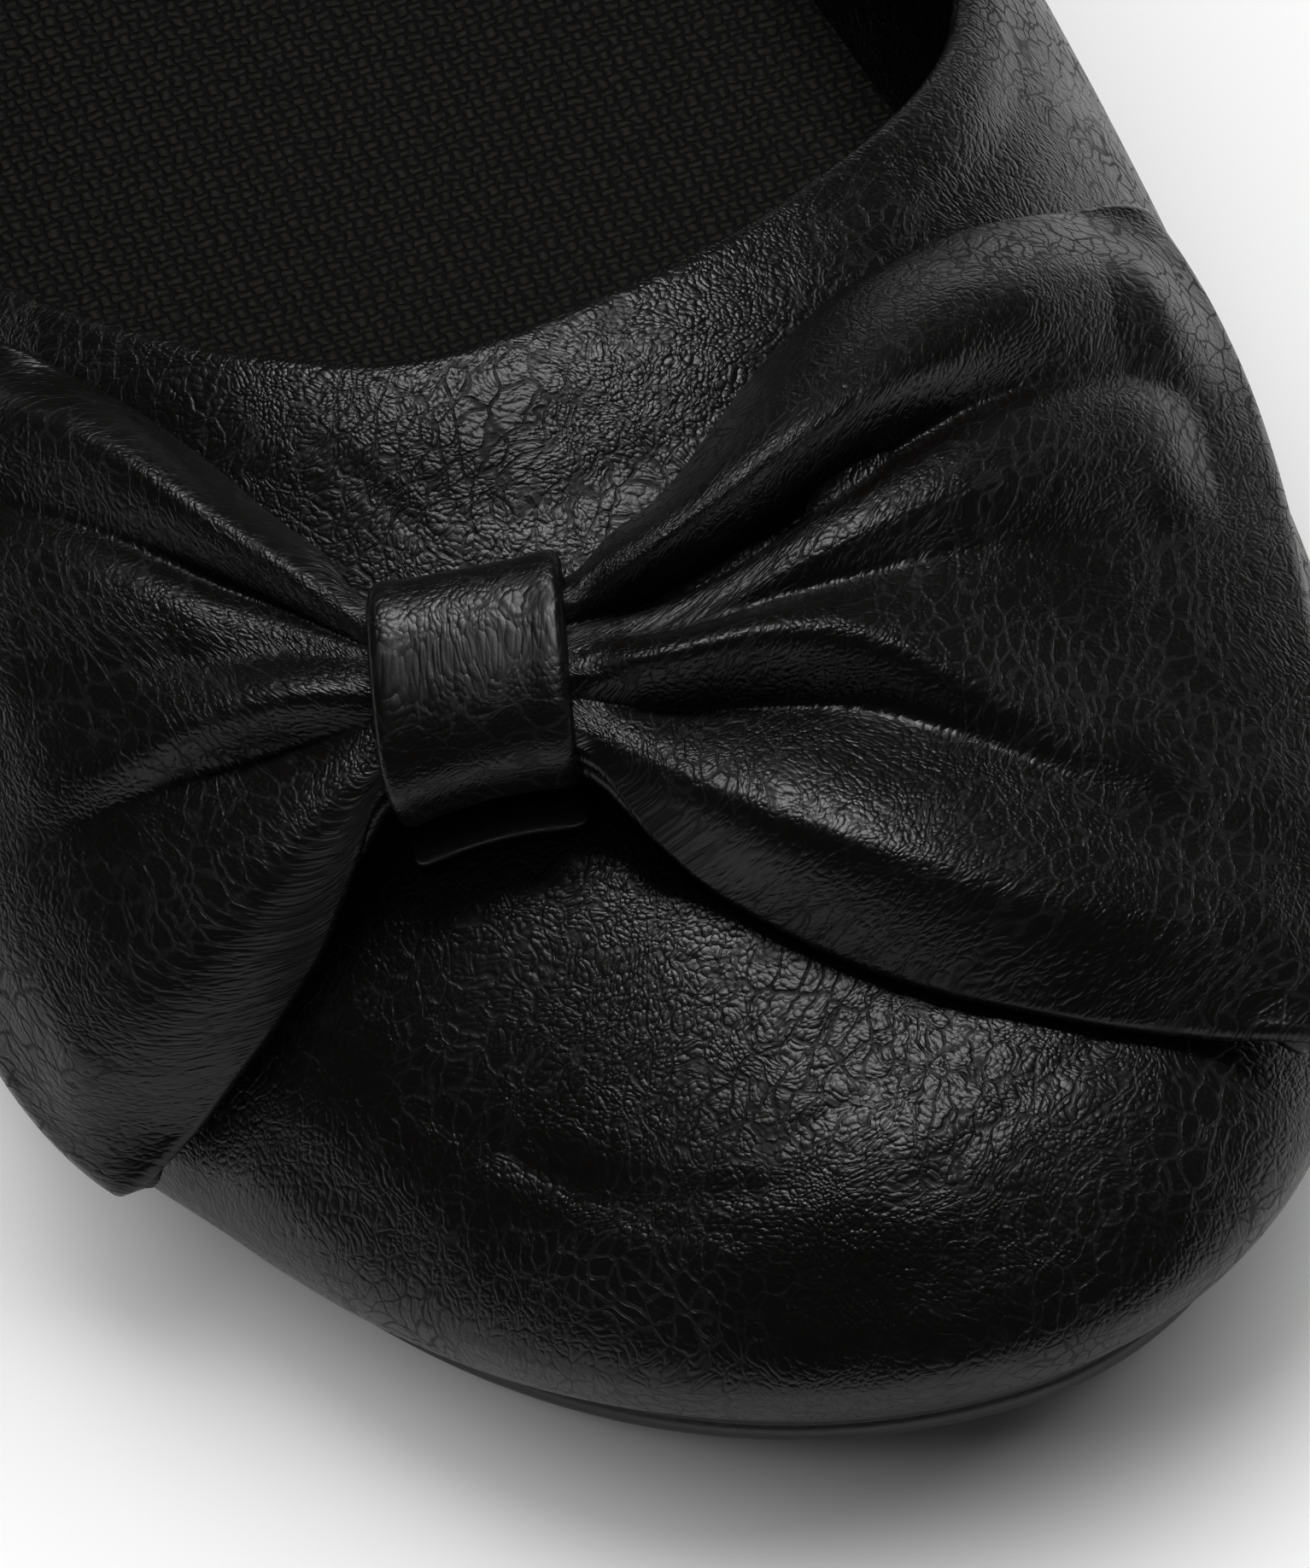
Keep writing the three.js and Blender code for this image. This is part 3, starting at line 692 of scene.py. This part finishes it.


# Folds of the vamp: points (x, distance from the toe), widths at both ends, height
VAMP_FOLDS = [
    ([(-20, 69), (-14, 65.4), (-7.6, 63.6), (-1, 63.4), (5, 65.4), (11, 68.6), (18, 73), (24, 79)],
     (3.6, 3.4), 1.0),
    ([(-12, 63), (-9.7, 61.4), (-6.4, 60.0), (-2.4, 60.2), (1, 61.2), (7, 63.6), (12, 66.4)],
     (0.8, 0.7), -0.55),
    ([(-20.6, 67.2), (-18.2, 63.3), (-15.9, 58.2), (-14, 54.9)], (0.7, 0.7), -0.22),
    ([(-17.5, 66.9), (-15.8, 63), (-13.8, 58.7), (-12.1, 54.9)], (0.6, 0.6), -0.22),
    ([(-15.2, 64.5), (-13.2, 61.3), (-11.1, 57.4), (-10.3, 54.2)], (0.6, 0.7), -0.2),
    ([(-11.1, 57.4), (-6.5, 58.6), (-2.1, 59.2), (1.9, 59.4)], (0.6, 0.6), -0.2),
    ([(-10.3, 54.2), (-5.6, 55.5), (-2.4, 56), (1, 56.1)], (0.7, 0.6), -0.2),
    ([(14.4, 65.6), (20, 69.7), (25.6, 75.3), (30.9, 82.7), (36.6, 95)], (2.0, 3.0), -0.4),
    ([(19.3, 67.4), (24.3, 71.5), (30.7, 79.6), (36.6, 90.7)], (1.4, 2.0), 0.25),
    ([(-27.9, 30.3), (-24.6, 23.3), (-19.6, 17.1), (-14, 12.8), (-7.1, 10.6)], (1.0, 0.9), -0.22),
    ([(-24.5, 23.7), (-20.7, 17.1), (-16.6, 12.5), (-11.2, 8.7)], (0.8, 0.8), -0.18),
    ([(-12.6, 18.1), (-7.2, 18.7), (-2.5, 19.5), (1, 20.5)], (0.5, 0.5), -0.16),
    ([(-11, 13.9), (-3.9, 15), (1.6, 17.1), (6, 17.9)], (0.5, 0.5), -0.16),
    ([(-9, 16.2), (-3.4, 16.9), (1.8, 18.8), (5, 20)], (0.45, 0.5), -0.14),
    ([(-5.5, 7.9), (0.6, 10.4), (7, 13.4), (11.3, 15.4)], (0.7, 0.6), -0.14),
    ([(-34.8, 33.1), (-31.5, 25.3), (-28.6, 19.2)], (1.2, 1.4), -0.2),
    ([(-21.5, 12.9), (-16.1, 8.1), (-9.1, 5.1), (-2.1, 4.3), (5.6, 6.8)], (1.6, 1.6), -0.2),
]


PROBE_ROW = TUCK_ROWS + 20
TOPLINE_BEAD = 0.22
TOPLINE_BEAD_ROWS = 5.0
RIM_FULLNESS = 1.25


def make_upper():
    """One closed shell: the outer skin with its folds, the topline's rim and the inner skin."""
    outer = upper_rows()
    count = outer.shape[1]
    normals = skin_normals(outer)
    middle = outer[:, PROBE_ROW]
    outwards = (normals[:, PROBE_ROW] * (middle - middle.mean(0))).sum(-1).mean()
    normals *= 1 if outwards > 0 else -1
    plan_x = outer[..., 0]
    plan_y = outer[..., 1] + TOE_REACH
    lift = np.zeros(plan_x.shape)
    for points, widths, height in VAMP_FOLDS:
        lift += soft_line(plan_x, plan_y, points, widths, height)
    row = np.arange(count)
    lift *= ease(3, TUCK_ROWS + 4, row) * (1 - ease(count - 14, count - 2, row))
    lift += TOPLINE_BEAD * np.exp(-((row - (count - 6)) / TOPLINE_BEAD_ROWS) ** 2)
    outer = outer + normals * lift[..., None]
    inner = outer - normals * WALL
    picked = np.unique(np.round(np.linspace(count - 1, 0, INNER_ROWS)).astype(int))[::-1]
    over = []
    middle = (outer[:, -1] + inner[:, -1]) / 2
    up = unit(outer[:, -1] - outer[:, -2]) * (WALL / 2 * RIM_FULLNESS)
    for k in range(1, RIM_ROWS):
        angle = math.pi * k / RIM_ROWS
        over.append(middle + (outer[:, -1] - middle) * math.cos(angle) + up * math.sin(angle))
    under = [inner[:, j] for j in picked]
    grid = np.concatenate([outer, np.stack(over, 1), np.stack(under, 1)], 1)
    return closed_grid("upper_leather", grid, vamp_leather)


upper = make_upper()

# Bow loops

LOOP_ROOT = GAP / 2
ROOT_SLACK = GAP * 4
ROOT_LOW = GAP + BAND_WALL + ROOT_SLACK / 2
ROOT_HIGH = GAP + BAND_HEIGHT - BAND_WALL - ROOT_SLACK / 2

# The run of each loop's long edges: distance from the bow's middle, front edge, rear edge
LOOP_EDGES = {
    1: np.array([(0, 4.0, 4.0), (5.3, 5.6, 5.0), (8, 9.8, 8.4), (12.8, 15.0, 13.2),
                 (18, 19.8, 18.6), (23.2, 23.5, 22.9), (28.5, 26.2, 25.9), (34, 28.2, 28.6),
                 (42, 29.4, 31.4), (50, 29.6, 31.6)]),
    -1: np.array([(0, 4.0, 4.0), (5.3, 4.8, 6.0), (7.5, 7.2, 9.8), (11.5, 11.6, 14.4),
                  (16, 15.9, 17.8), (21.5, 19.2, 21.0), (27, 20.2, 23.2), (36, 20.4, 24.0)]),
}
# Each loop's ridges and troughs from its rear edge to its front one, each as a line of
# points: distance from the bow's middle, place across, height over the vamp
LOOP_LINES = {
    1: [
        [(5.3, 2.9, 5.9), (10, 5.0, 7.4), (15, 7.6, 8.4), (20, 10.6, 8.4),
         (25, 13.6, 7.6), (31, 17, 6.6), (38, 20, 5.2)],
        [(5.3, 1.8, 5.0), (10, 3.2, 3.6), (15, 4.9, 3.3), (20, 7.5, 3.5),
         (25, 10.2, 4.2), (31, 12.9, 4.9), (38, 14.8, 4.6)],
        [(5.3, 1.0, 5.3), (10, 1.2, 5.0), (15, 1.9, 5.8), (20, 2.9, 6.9),
         (25, 4.5, 7.4), (31, 6.8, 6.9), (38, 9.2, 5.8), (43, 10, 4.4)],
        [(5.3, 0.6, 5.35), (10, 0.4, 5.2), (15, 0.7, 5.2), (20, 1.0, 5.4),
         (25, 1.5, 5.7), (31, 2.2, 5.3), (38, 3.8, 4.4)],
        [(5.3, -1.4, 5.8), (10, -1.9, 7.2), (15, -2.4, 7.8), (20, -3.8, 7.6),
         (25, -7.2, 6.9), (31, -11.0, 5.5), (38, -14, 4.2)],
        [(5.3, -2.6, 5.0), (10, -3.7, 4.0), (15, -4.8, 3.9), (20, -6.5, 4.2),
         (25, -9.4, 4.6), (31, -13.2, 4.5), (38, -17, 3.9)],
        [(5.3, -4.0, 5.0), (8, -6.4, 5.3), (12, -10.0, 5.8), (18, -15.0, 6.3),
         (24, -18.8, 6.0), (31, -21.8, 4.9), (38, -23, 4.0)],
    ],
    -1: [
        [(5.3, 4.2, 5.5), (10, 9.2, 5.5), (15, 12.6, 5.4), (20, 15.4, 5.2), (27, 18.6, 4.8)],
        [(5.3, 3.1, 4.9), (10, 6.9, 3.8), (15, 8.8, 3.6), (20, 10.6, 3.8), (27, 13.0, 4.3)],
        [(5.3, 2.6, 5.1), (10, 4.6, 5.0), (15, 5.2, 5.6), (20, 5.2, 5.8), (27, 5.6, 5.3)],
        [(5.3, 2.2, 5.2), (10, 3.6, 5.2), (15, 3.5, 5.3), (20, 3.0, 5.4), (27, 3.0, 5.1)],
        [(5.3, 0.4, 5.7), (10, 0.9, 6.4), (15, -0.3, 6.4), (20, -2.2, 5.9), (27, -4.0, 5.1)],
        [(5.3, -1.1, 4.9), (10, -0.9, 4.0), (15, -2.2, 4.0), (20, -4.2, 4.4), (27, -6.4, 4.8)],
        [(5.3, -3.0, 5.0), (8, -4.7, 5.3), (11, -7.0, 5.6),
         (14.5, -10.0, 5.7), (18, -12.6, 5.5), (27, -15.6, 5.1)],
    ],
}
# Where the puffed part of each loop drops to its flat outer fold: place across, distance, depth
LOOP_DROPS = {
    1: np.array([(-26, 24, 0), (-9, 36.8, 0), (-3.2, 40, 0), (3.2, 42, 0.1), (9.8, 42.6, 0.25),
                 (13.5, 41.2, 0.25), (16.5, 38, 0.1), (22, 30, 0)], float),
    -1: np.array([(-20, 22, 0), (2, 28.6, 0.2), (18, 22, 0)], float),
}
# Height of the top layer's long edges, and how far the under layer keeps in from them
EDGE_HEIGHT = 0.95
UNDER_INSET = 4.0
# How much thinner the fold is at its corners, and how far it takes to reach its thickness
CORNER_THINNING = 1.6
FOLD_RUN = 6
SOFT_CREST = 0.1
SKIN_SMOOTHING = 3
TOP_ROWS = 190
FOLD_ROWS = 26
UNDER_ROWS = 60
ROOT_ROWS = 8
LOOP_COLUMNS = 200
EDGE_STEPS = 6
INSIDE_COLUMNS = 24


def loop_height(side, along, across):
    """Height of the loop's top layer over the vamp, drawn through its ridges and troughs.

    Between a ridge and a trough it runs in a quarter wave, which rounds the ridge and leaves
    the trough a sharp crease.
    """
    edges = LOOP_EDGES[side]
    low = mix(ROOT_HIGH - 1.0, EDGE_HEIGHT, ease(BAND_EDGE - 0.5, 12, along))
    lines = [(curve(edges, 2)(along), low)]
    for line in LOOP_LINES[side]:
        table = np.array(line, float)
        lines.append((curve(table, 1)(along), curve(table, 2)(along)))
    lines.append((-curve(edges, 1)(along), low))
    height = np.array(low, float)
    for k, ((rear, rear_height), (front, front_height)) in enumerate(zip(lines, lines[1:])):
        share = np.clip((rear - across) / np.maximum(rear - front, 0.01), 0, 1)
        if k == 2:
            way = 1 - (1 - share) ** 3
        else:
            angle = share * math.pi / 2
            sharp = 1 - np.cos(angle) if k % 2 else np.sin(angle)
            way = mix(sharp, ease(0, 1, share), SOFT_CREST if 0 < k < len(lines) - 2 else 0.0)
        here = (across <= rear) & (across >= front)
        height = np.where(here, mix(rear_height, front_height, way), height)
    drop = curve(LOOP_DROPS[side], 1)(across)
    depth = curve(LOOP_DROPS[side], 2)(across)
    height = height - depth * ease(drop - 3.5, drop + 1.5, along)
    free = ease(BAND_EDGE - 0.2, BAND_EDGE + 2.5, along)
    return mix(np.minimum(height, ROOT_HIGH), height, free)


def loop_across(side, along, t, inset=0.0):
    edges = LOOP_EDGES[side]
    half = np.where(t < 0, curve(edges, 1)(along), curve(edges, 2)(along))
    return (half - inset) * t


def loop_skin(side):
    """The loop's outer skin, row by row: under layer, outer fold, top layer, root."""
    t = np.linspace(-1, 1, LOOP_COLUMNS)
    t = np.sign(t) * (1 - (1 - np.abs(t)) ** 1.15)
    end = LOOP_LENGTH[side] - LOOP_CORNER[side] * np.abs(t) ** 4
    radius = (FOLD_THICKNESS[side] - CORNER_THINNING * np.abs(t) ** 3 - GAP) / 2
    stop = end - radius
    rows = []
    for share in np.linspace(0, 1, UNDER_ROWS):
        a = LOOP_ROOT + (stop - LOOP_ROOT) * share
        hidden = UNDER_INSET * ease(BAND_EDGE, 14, a) * (1 - ease(stop - 7, stop, a))
        low = mix(ROOT_LOW, GAP, ease(BAND_EDGE, 2 * BAND_EDGE, a))
        rows.append((a, loop_across(side, a, t, hidden), low))
    for k in range(1, FOLD_ROWS):
        angle = -math.pi / 2 + math.pi * k / FOLD_ROWS
        rows.append((stop + radius * math.cos(angle), loop_across(side, stop, t),
                     GAP + radius * (1 + math.sin(angle))))
    top_start = len(rows) + 1
    for share in np.linspace(1, 0, TOP_ROWS):
        a = LOOP_ROOT + (stop - LOOP_ROOT) * share
        q = loop_across(side, a, t)
        high = loop_height(side, a, q)
        rows.append((a, q, mix(high, GAP + 2 * radius, ease(stop - FOLD_RUN, stop, a))))
    high = rows[-1][2]
    root = np.full_like(t, LOOP_ROOT)
    for k in range(1, ROOT_ROWS):
        rows.append((root, loop_across(side, root, t), mix(high, ROOT_LOW, k / ROOT_ROWS)))
    along, across, height = (np.stack(column) for column in zip(*rows))
    for _ in range(SKIN_SMOOTHING):
        top = height[top_start:]
        top[:, 1:-1] = (top[:, :-2] + 2 * top[:, 1:-1] + top[:, 2:]) / 4
    return over_vamp(side, along, across, height)


def rounded_edge(skin, inner, edge, before):
    """Columns that close the ribbon's thickness in a half circle at one of its edges."""
    outward = unit(skin[:, edge] - skin[:, before])
    middle = (skin[:, edge] + inner[:, edge]) / 2
    angles = [math.pi * k / EDGE_STEPS for k in range(1, EDGE_STEPS)]
    return [middle + (skin[:, edge] - middle) * math.cos(angle)
            + outward * RIBBON * 0.5 * math.sin(angle) for angle in angles]


def make_loop(side, name):
    """A loop of ribbon with a real thickness, closed along both edges."""
    skin = loop_skin(side)
    normals = skin_normals(skin)
    top_row = UNDER_ROWS + FOLD_ROWS + TOP_ROWS // 2
    if normals[top_row, LOOP_COLUMNS // 2, 2] < 0:
        normals = -normals
    inner = skin - normals * RIBBON
    picked = np.round(np.linspace(LOOP_COLUMNS - 1, 0, INSIDE_COLUMNS)).astype(int)
    far_edge = rounded_edge(skin, inner, -1, -2)
    near_edge = rounded_edge(skin, inner, 0, 1)[::-1]
    grid = np.concatenate([skin, np.stack(far_edge, 1), inner[:, picked],
                           np.stack(near_edge, 1)], 1)

    aside = np.linalg.norm(np.diff(skin, axis=1, prepend=skin[:, :1]), axis=-1).cumsum(1)
    aside -= aside[:, LOOP_COLUMNS // 2][:, None]
    ahead = np.linalg.norm(np.diff(skin, axis=0, prepend=skin[:1]), axis=-1).cumsum(0)
    flat = np.stack([ahead, aside], -1)
    coords = np.concatenate([flat, flat[:, [-1] * len(far_edge)], flat[:, picked],
                             flat[:, [0] * len(near_edge)]], 1)
    return closed_grid(name, grid, bow_leather, coords)


loop_lateral = make_loop(1, "bow_loop_lateral_leather")
loop_medial = make_loop(-1, "bow_loop_medial_leather")

# Band and tab

BAND_ROWS = 200
BAND_COLUMNS = 60
BAND_INSIDE_COLUMNS = 18
CROWN_ROUNDNESS = 0.85
SIDE_ROUNDNESS = 2 / 3
# A low bead beside each edge, the edge's own fall, and the hollow between the beads
BAND_BEAD = 0.1
BAND_EDGE_DROP = 0.75
BAND_DENT = 0.2
# The way round the band, in band lengths
BAND_ROUND = 2.4


def band_points(angle, along, shrink):
    """Points round the band, which is rounder over its crown than underneath."""
    half = BAND_LENGTH / 2 - shrink
    rise = BAND_HEIGHT / 2 - shrink
    across = oval(np.cos(angle), SIDE_ROUNDNESS) * half
    upright = np.sin(angle)
    roundness = np.where(upright > 0, CROWN_ROUNDNESS, SIDE_ROUNDNESS)
    height = GAP + BAND_HEIGHT / 2 + oval(upright, roundness) * rise
    return over_both(along, across, height)


def make_band():
    angle = np.linspace(0, 2 * math.pi, BAND_ROWS, endpoint=False)[:, None]
    half = BAND_WIDTH / 2
    share = np.linspace(-1, 1, BAND_COLUMNS)
    along = half * share
    bead = BAND_BEAD * np.exp(-((np.abs(share) - 0.8) / 0.14) ** 2)
    turned = np.clip((np.abs(share) - 0.88) / 0.12, 0, 1)
    drop = BAND_EDGE_DROP * (1 - np.sqrt(1 - turned ** 2 * 0.98))
    dent = BAND_DENT * (1 - share**2)
    outer = band_points(angle, along[None, :], (drop + dent - bead)[None, :])
    inside = np.linspace(1, -1, BAND_INSIDE_COLUMNS)
    under = band_points(angle, half * 0.97 * inside[None, :],
                        np.full((1, BAND_INSIDE_COLUMNS), BAND_WALL))
    round_it = np.linspace(0, BAND_LENGTH * BAND_ROUND, BAND_ROWS)
    flat = np.stack(np.meshgrid(np.concatenate([along, inside * BAND_WIDTH / 2]), round_it), -1)
    return closed_grid("bow_band_leather", np.concatenate([outer, under], 1), band_leather, flat)


band = make_band()

TAB_ROWS = 28
TAB_COLUMNS = 80
TAB_SEAM = TAB_TUCK - BAND_LENGTH / 2


def make_tab():
    """The band's end, turned out in front of it and sewn down, with a fan closing each side."""
    angle = np.linspace(0, 2 * math.pi, TAB_ROWS, endpoint=False)[:, None]
    share = np.linspace(-1, 1, TAB_COLUMNS)[None, :]
    # A little wider than the band, with tight corners and a front edge that bows gently
    along = BAND_WIDTH / 2 * share * 1.02
    end = np.sqrt(np.maximum(1 - np.abs(share) ** 14, 0.0004))
    reach = TAB_LENGTH / 2 + (0.2 * share**2 - 0.08)
    across = TAB_SEAM - reach + oval(np.cos(angle), 0.7) * reach * end
    thin = mix(1.0, 0.55, ease(-0.2, 1.0, np.cos(angle)))
    height = GAP + (TAB_HEIGHT - GAP) / 2 * (1 + oval(np.sin(angle), 0.75) * thin * end)
    along, across, height = np.broadcast_arrays(along, across, height)
    points = over_both(along, across, height)
    faces = closed_faces(TAB_ROWS, TAB_COLUMNS)
    column = faces % TAB_COLUMNS
    faces = faces[column.max(1) - column.min(1) <= 1]
    hub = TAB_ROWS * TAB_COLUMNS
    ends = np.stack([points[:, 0].mean(0), points[:, -1].mean(0)])
    everything = np.concatenate([points.reshape(-1, 3), ends])
    near = np.arange(TAB_ROWS) * TAB_COLUMNS
    after = np.roll(near, -1)
    first = np.stack([np.full(TAB_ROWS, hub), after, near], -1)
    last = np.stack([np.full(TAB_ROWS, hub + 1), near, after], -1)
    last[:, 1:] += TAB_COLUMNS - 1
    polygons = faces.tolist() + first.tolist() + last.tolist()
    if volume(everything, faces) < 0:
        polygons = [face[::-1] for face in polygons]
    flat = np.stack([along, across], -1).reshape(-1, 2)
    flat = np.concatenate([flat, flat[:1], flat[-1:]])
    return make_piece("bow_band_tab_leather", everything, polygons, tab_leather, flat)


tab = make_tab()

# Stitches that hold the tab down

STITCH_PITCH = 1.3
STITCH_LENGTH = 1.0
THREAD_THICKNESS = 0.34
# The row's share of the band's width, its way in front of the tab's seam, and its height
STITCH_ROW_SHARE = 0.8
STITCH_ROW_FRONT = 1.55
STITCH_ROW_HEIGHT = 1.12


def stitch_tree():
    """A thread's short bars, set at a pitch along the path that comes in."""
    tree = bpy.data.node_groups.new("stitches along a path", "GeometryNodeTree")
    face = tree.interface
    face.new_socket(name="Path", in_out="INPUT", socket_type="NodeSocketGeometry")
    names = {}
    for name in ("Pitch", "Length", "Thickness"):
        socket = face.new_socket(name=name, in_out="INPUT", socket_type="NodeSocketFloat")
        names[name] = socket.identifier
    face.new_socket(name="Stitches", in_out="OUTPUT", socket_type="NodeSocketGeometry")
    given = add(tree, "NodeGroupInput")
    path = add(tree, "GeometryNodeMeshToCurve", links={0: given.outputs["Path"]})
    spots = add(tree, "GeometryNodeResampleCurve", {"mode": "LENGTH"},
                {"Curve": path.outputs[0], "Length": given.outputs["Pitch"]})
    way = add(tree, "GeometryNodeInputTangent")
    turned = add(tree, "FunctionNodeAlignRotationToVector", {"axis": "Z"},
                 {"Vector": way.outputs[0]})
    bead = add(tree, "GeometryNodeMeshUVSphere", {"Segments": 12, "Rings": 10, "Radius": 0.5})
    stretch = add(tree, "ShaderNodeCombineXYZ",
                  links={"X": given.outputs["Thickness"], "Y": given.outputs["Thickness"],
                         "Z": given.outputs["Length"]})
    placed = add(tree, "GeometryNodeInstanceOnPoints",
                 links={"Points": spots.outputs[0], "Instance": bead.outputs["Mesh"],
                        "Rotation": turned.outputs[0], "Scale": stretch.outputs[0]})
    real = add(tree, "GeometryNodeRealizeInstances", links={0: placed.outputs[0]})
    smooth = add(tree, "GeometryNodeSetShadeSmooth", links={0: real.outputs[0]})
    dressed = add(tree, "GeometryNodeSetMaterial", {"Material": thread},
                  {"Geometry": smooth.outputs[0]})
    add(tree, "NodeGroupOutput", links={0: dressed.outputs[0]})
    return tree, names


def make_stitches():
    along = np.linspace(-STITCH_ROW_SHARE, STITCH_ROW_SHARE, 41) * BAND_WIDTH / 2
    points = over_both(along, TAB_SEAM - STITCH_ROW_FRONT, STITCH_ROW_HEIGHT) * MM
    mesh = bpy.data.meshes.new("stitch path")
    mesh.from_pydata(points.tolist(), [(k, k + 1) for k in range(len(along) - 1)], [])
    piece = bpy.data.objects.new("bow_band_tab_stitches", mesh)
    bpy.context.scene.collection.objects.link(piece)
    tree, names = stitch_tree()
    sewing = piece.modifiers.new("sewing", "NODES")
    sewing.node_group = tree
    sewing[names["Pitch"]] = STITCH_PITCH * MM
    sewing[names["Length"]] = STITCH_LENGTH * MM
    sewing[names["Thickness"]] = THREAD_THICKNESS * MM
    bpy.context.view_layer.update()
    live = piece.evaluated_get(bpy.context.evaluated_depsgraph_get())
    sewn = bpy.data.meshes.new_from_object(live)
    sewn.name = "bow_band_tab_stitches"
    piece.modifiers.remove(sewing)
    piece.data = sewn
    return piece


stitches = make_stitches()

# Sole, heel and insole

SOLE_POINTS = 640
# Edges in section: how far in from the widest reach, and how far up
OUTSOLE_SECTION = ((0.9, 0.0), (0.45, 0.08), (0.15, 0.3), (0.0, 0.6), (0.0, 1.3), (0.18, 1.42),
                   (0.18, 1.6), (0.0, 1.72), (0.0, 2.1), (0.15, 2.3), (0.5, 2.4))
INSOLE_SECTION = ((0.3, 0.0), (0.0, 0.3), (0.0, 1.4), (0.25, 1.8), (0.8, 2.0))


def sole_layer(name, section, depth, base, lift, material):
    """A layer of the sole: its section carried round the outline, over a base line."""
    turn = np.arange(SOLE_POINTS) / SOLE_POINTS
    rings = []
    for inwards, up in section:
        p = inset(turn, depth + inwards)
        rings.append(place(p[:, 0], p[:, 1], base(p[:, 1]) + lift + up))
    return stacked_rings(name, rings, material)


outsole = sole_layer("outsole_rubber", OUTSOLE_SECTION, SOLE_INSET, sole_bottom, 0, rubber)
insole = sole_layer("insole_canvas", INSOLE_SECTION, TUCK_DEPTH, feather_height, WALL + GAP,
                    canvas)

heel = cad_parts["heel"]
heel.data.materials.clear()
heel.data.materials.append(rubber)

# What rides on what

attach(stitches, "root")
for piece, node, slot in (
    (upper, "upper", "grained_leather"),
    (loop_lateral, "bow_loop_lateral", "grained_leather"),
    (loop_medial, "bow_loop_medial", "grained_leather"),
    (band, "bow_band", "grained_leather"),
    (tab, "bow_band_tab", "grained_leather"),
    (outsole, "outsole", "sole_rubber"),
    (insole, "insole", "insole_canvas"),
):
    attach(piece, "root")
    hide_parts(node)

# Floor, light and camera

FLOOR_REACH = 4
mesh = bpy.data.meshes.new("floor")
mesh.from_pydata([(x * FLOOR_REACH, y * FLOOR_REACH, 0)
                  for x, y in ((-1, -1), (1, -1), (1, 1), (-1, 1))], [], [(0, 1, 2, 3)])
mesh.materials.append(painted_board("matt white board"))
floor = bpy.data.objects.new("floor", mesh)
bpy.context.scene.collection.objects.link(floor)

# The point that the camera and the key face, inside the shoe and beside the bow's middle
TARGET = Vector((-6.022, -176.014, 19.884)) * MM

# The key hangs over the shoe, a little to its heel end: metres and watts
KEY_DIRECTION = (0.18, 0.33, 0.93)
KEY_DISTANCE = 1.4
KEY_SIZE = (0.7, 0.25)
KEY_POWER = 12.5
TENT_DIRECTIONS = {"tent left": (-0.5, 0.36, 0.79), "tent right": (0.5, 0.36, 0.79)}
TENT_SPREAD = math.radians(86)
TENT_STRENGTH = 2.32
SKY_STRENGTH = 0.05


def light(name, kind, direction, energy, lit, **settings):
    """A light that faces the toe from a direction and reaches only the pieces that it lights."""
    data = bpy.data.lights.new(name, kind)
    data.energy = energy
    for setting, value in settings.items():
        setattr(data, setting, value)
    lamp = bpy.data.objects.new(name, data)
    lamp.rotation_euler = Vector(direction).normalized().to_track_quat("Z", "Y").to_euler()
    bpy.context.scene.collection.objects.link(lamp)
    receivers = bpy.data.collections.new("lit by the " + name)
    for piece in lit:
        receivers.objects.link(piece)
    lamp.light_linking.receiver_collection = receivers
    return lamp


key = light("key", "AREA", KEY_DIRECTION, KEY_POWER,
            (upper, loop_lateral, loop_medial, band, tab, stitches, outsole, insole, heel),
            shape="RECTANGLE", size=KEY_SIZE[0], size_y=KEY_SIZE[1])
key.location = TARGET + Vector(KEY_DIRECTION).normalized() * KEY_DISTANCE

# A white tent round the set lights the floor alone, so the black leather stays black
for name, direction in TENT_DIRECTIONS.items():
    light(name, "SUN", direction, TENT_STRENGTH, (floor,), angle=TENT_SPREAD)

world = bpy.data.worlds.new("studio")
bpy.context.scene.world = world
world.use_nodes = True
sky = world.node_tree.nodes["Background"]
sky.inputs["Color"].default_value = srgb("#ffffff")
sky.inputs["Strength"].default_value = SKY_STRENGTH

# The camera, fitted to the photograph: angles, metres, and the photograph's width and scale
AZIMUTH = math.radians(-15)
ELEVATION = math.radians(44)
ROLL = math.radians(7)
CAMERA_DISTANCE = 1.1
PHOTO_WIDTH = 1534
PIXELS_A_MM = 20.7
SENSOR_WIDTH = 36
back = Vector((math.sin(AZIMUTH) * math.cos(ELEVATION),
               -math.cos(AZIMUTH) * math.cos(ELEVATION), math.sin(ELEVATION)))
level = Vector((math.cos(AZIMUTH), math.sin(AZIMUTH), 0))
above = back.cross(level)
right = math.cos(ROLL) * level - math.sin(ROLL) * above
up = math.sin(ROLL) * level + math.cos(ROLL) * above
lens = bpy.data.cameras.new("camera")
lens.sensor_fit = "HORIZONTAL"
lens.sensor_width = SENSOR_WIDTH
lens.lens = SENSOR_WIDTH * (CAMERA_DISTANCE / MM) / (PHOTO_WIDTH / PIXELS_A_MM)
lens.clip_start = 0.05
lens.clip_end = 20
camera = bpy.data.objects.new("camera", lens)
turned = Matrix((right, up, back)).transposed().to_4x4()
camera.matrix_world = Matrix.Translation(TARGET + back * CAMERA_DISTANCE) @ turned
bpy.context.scene.collection.objects.link(camera)
bpy.context.scene.camera = camera
bpy.context.scene.view_settings.view_transform = "Standard"
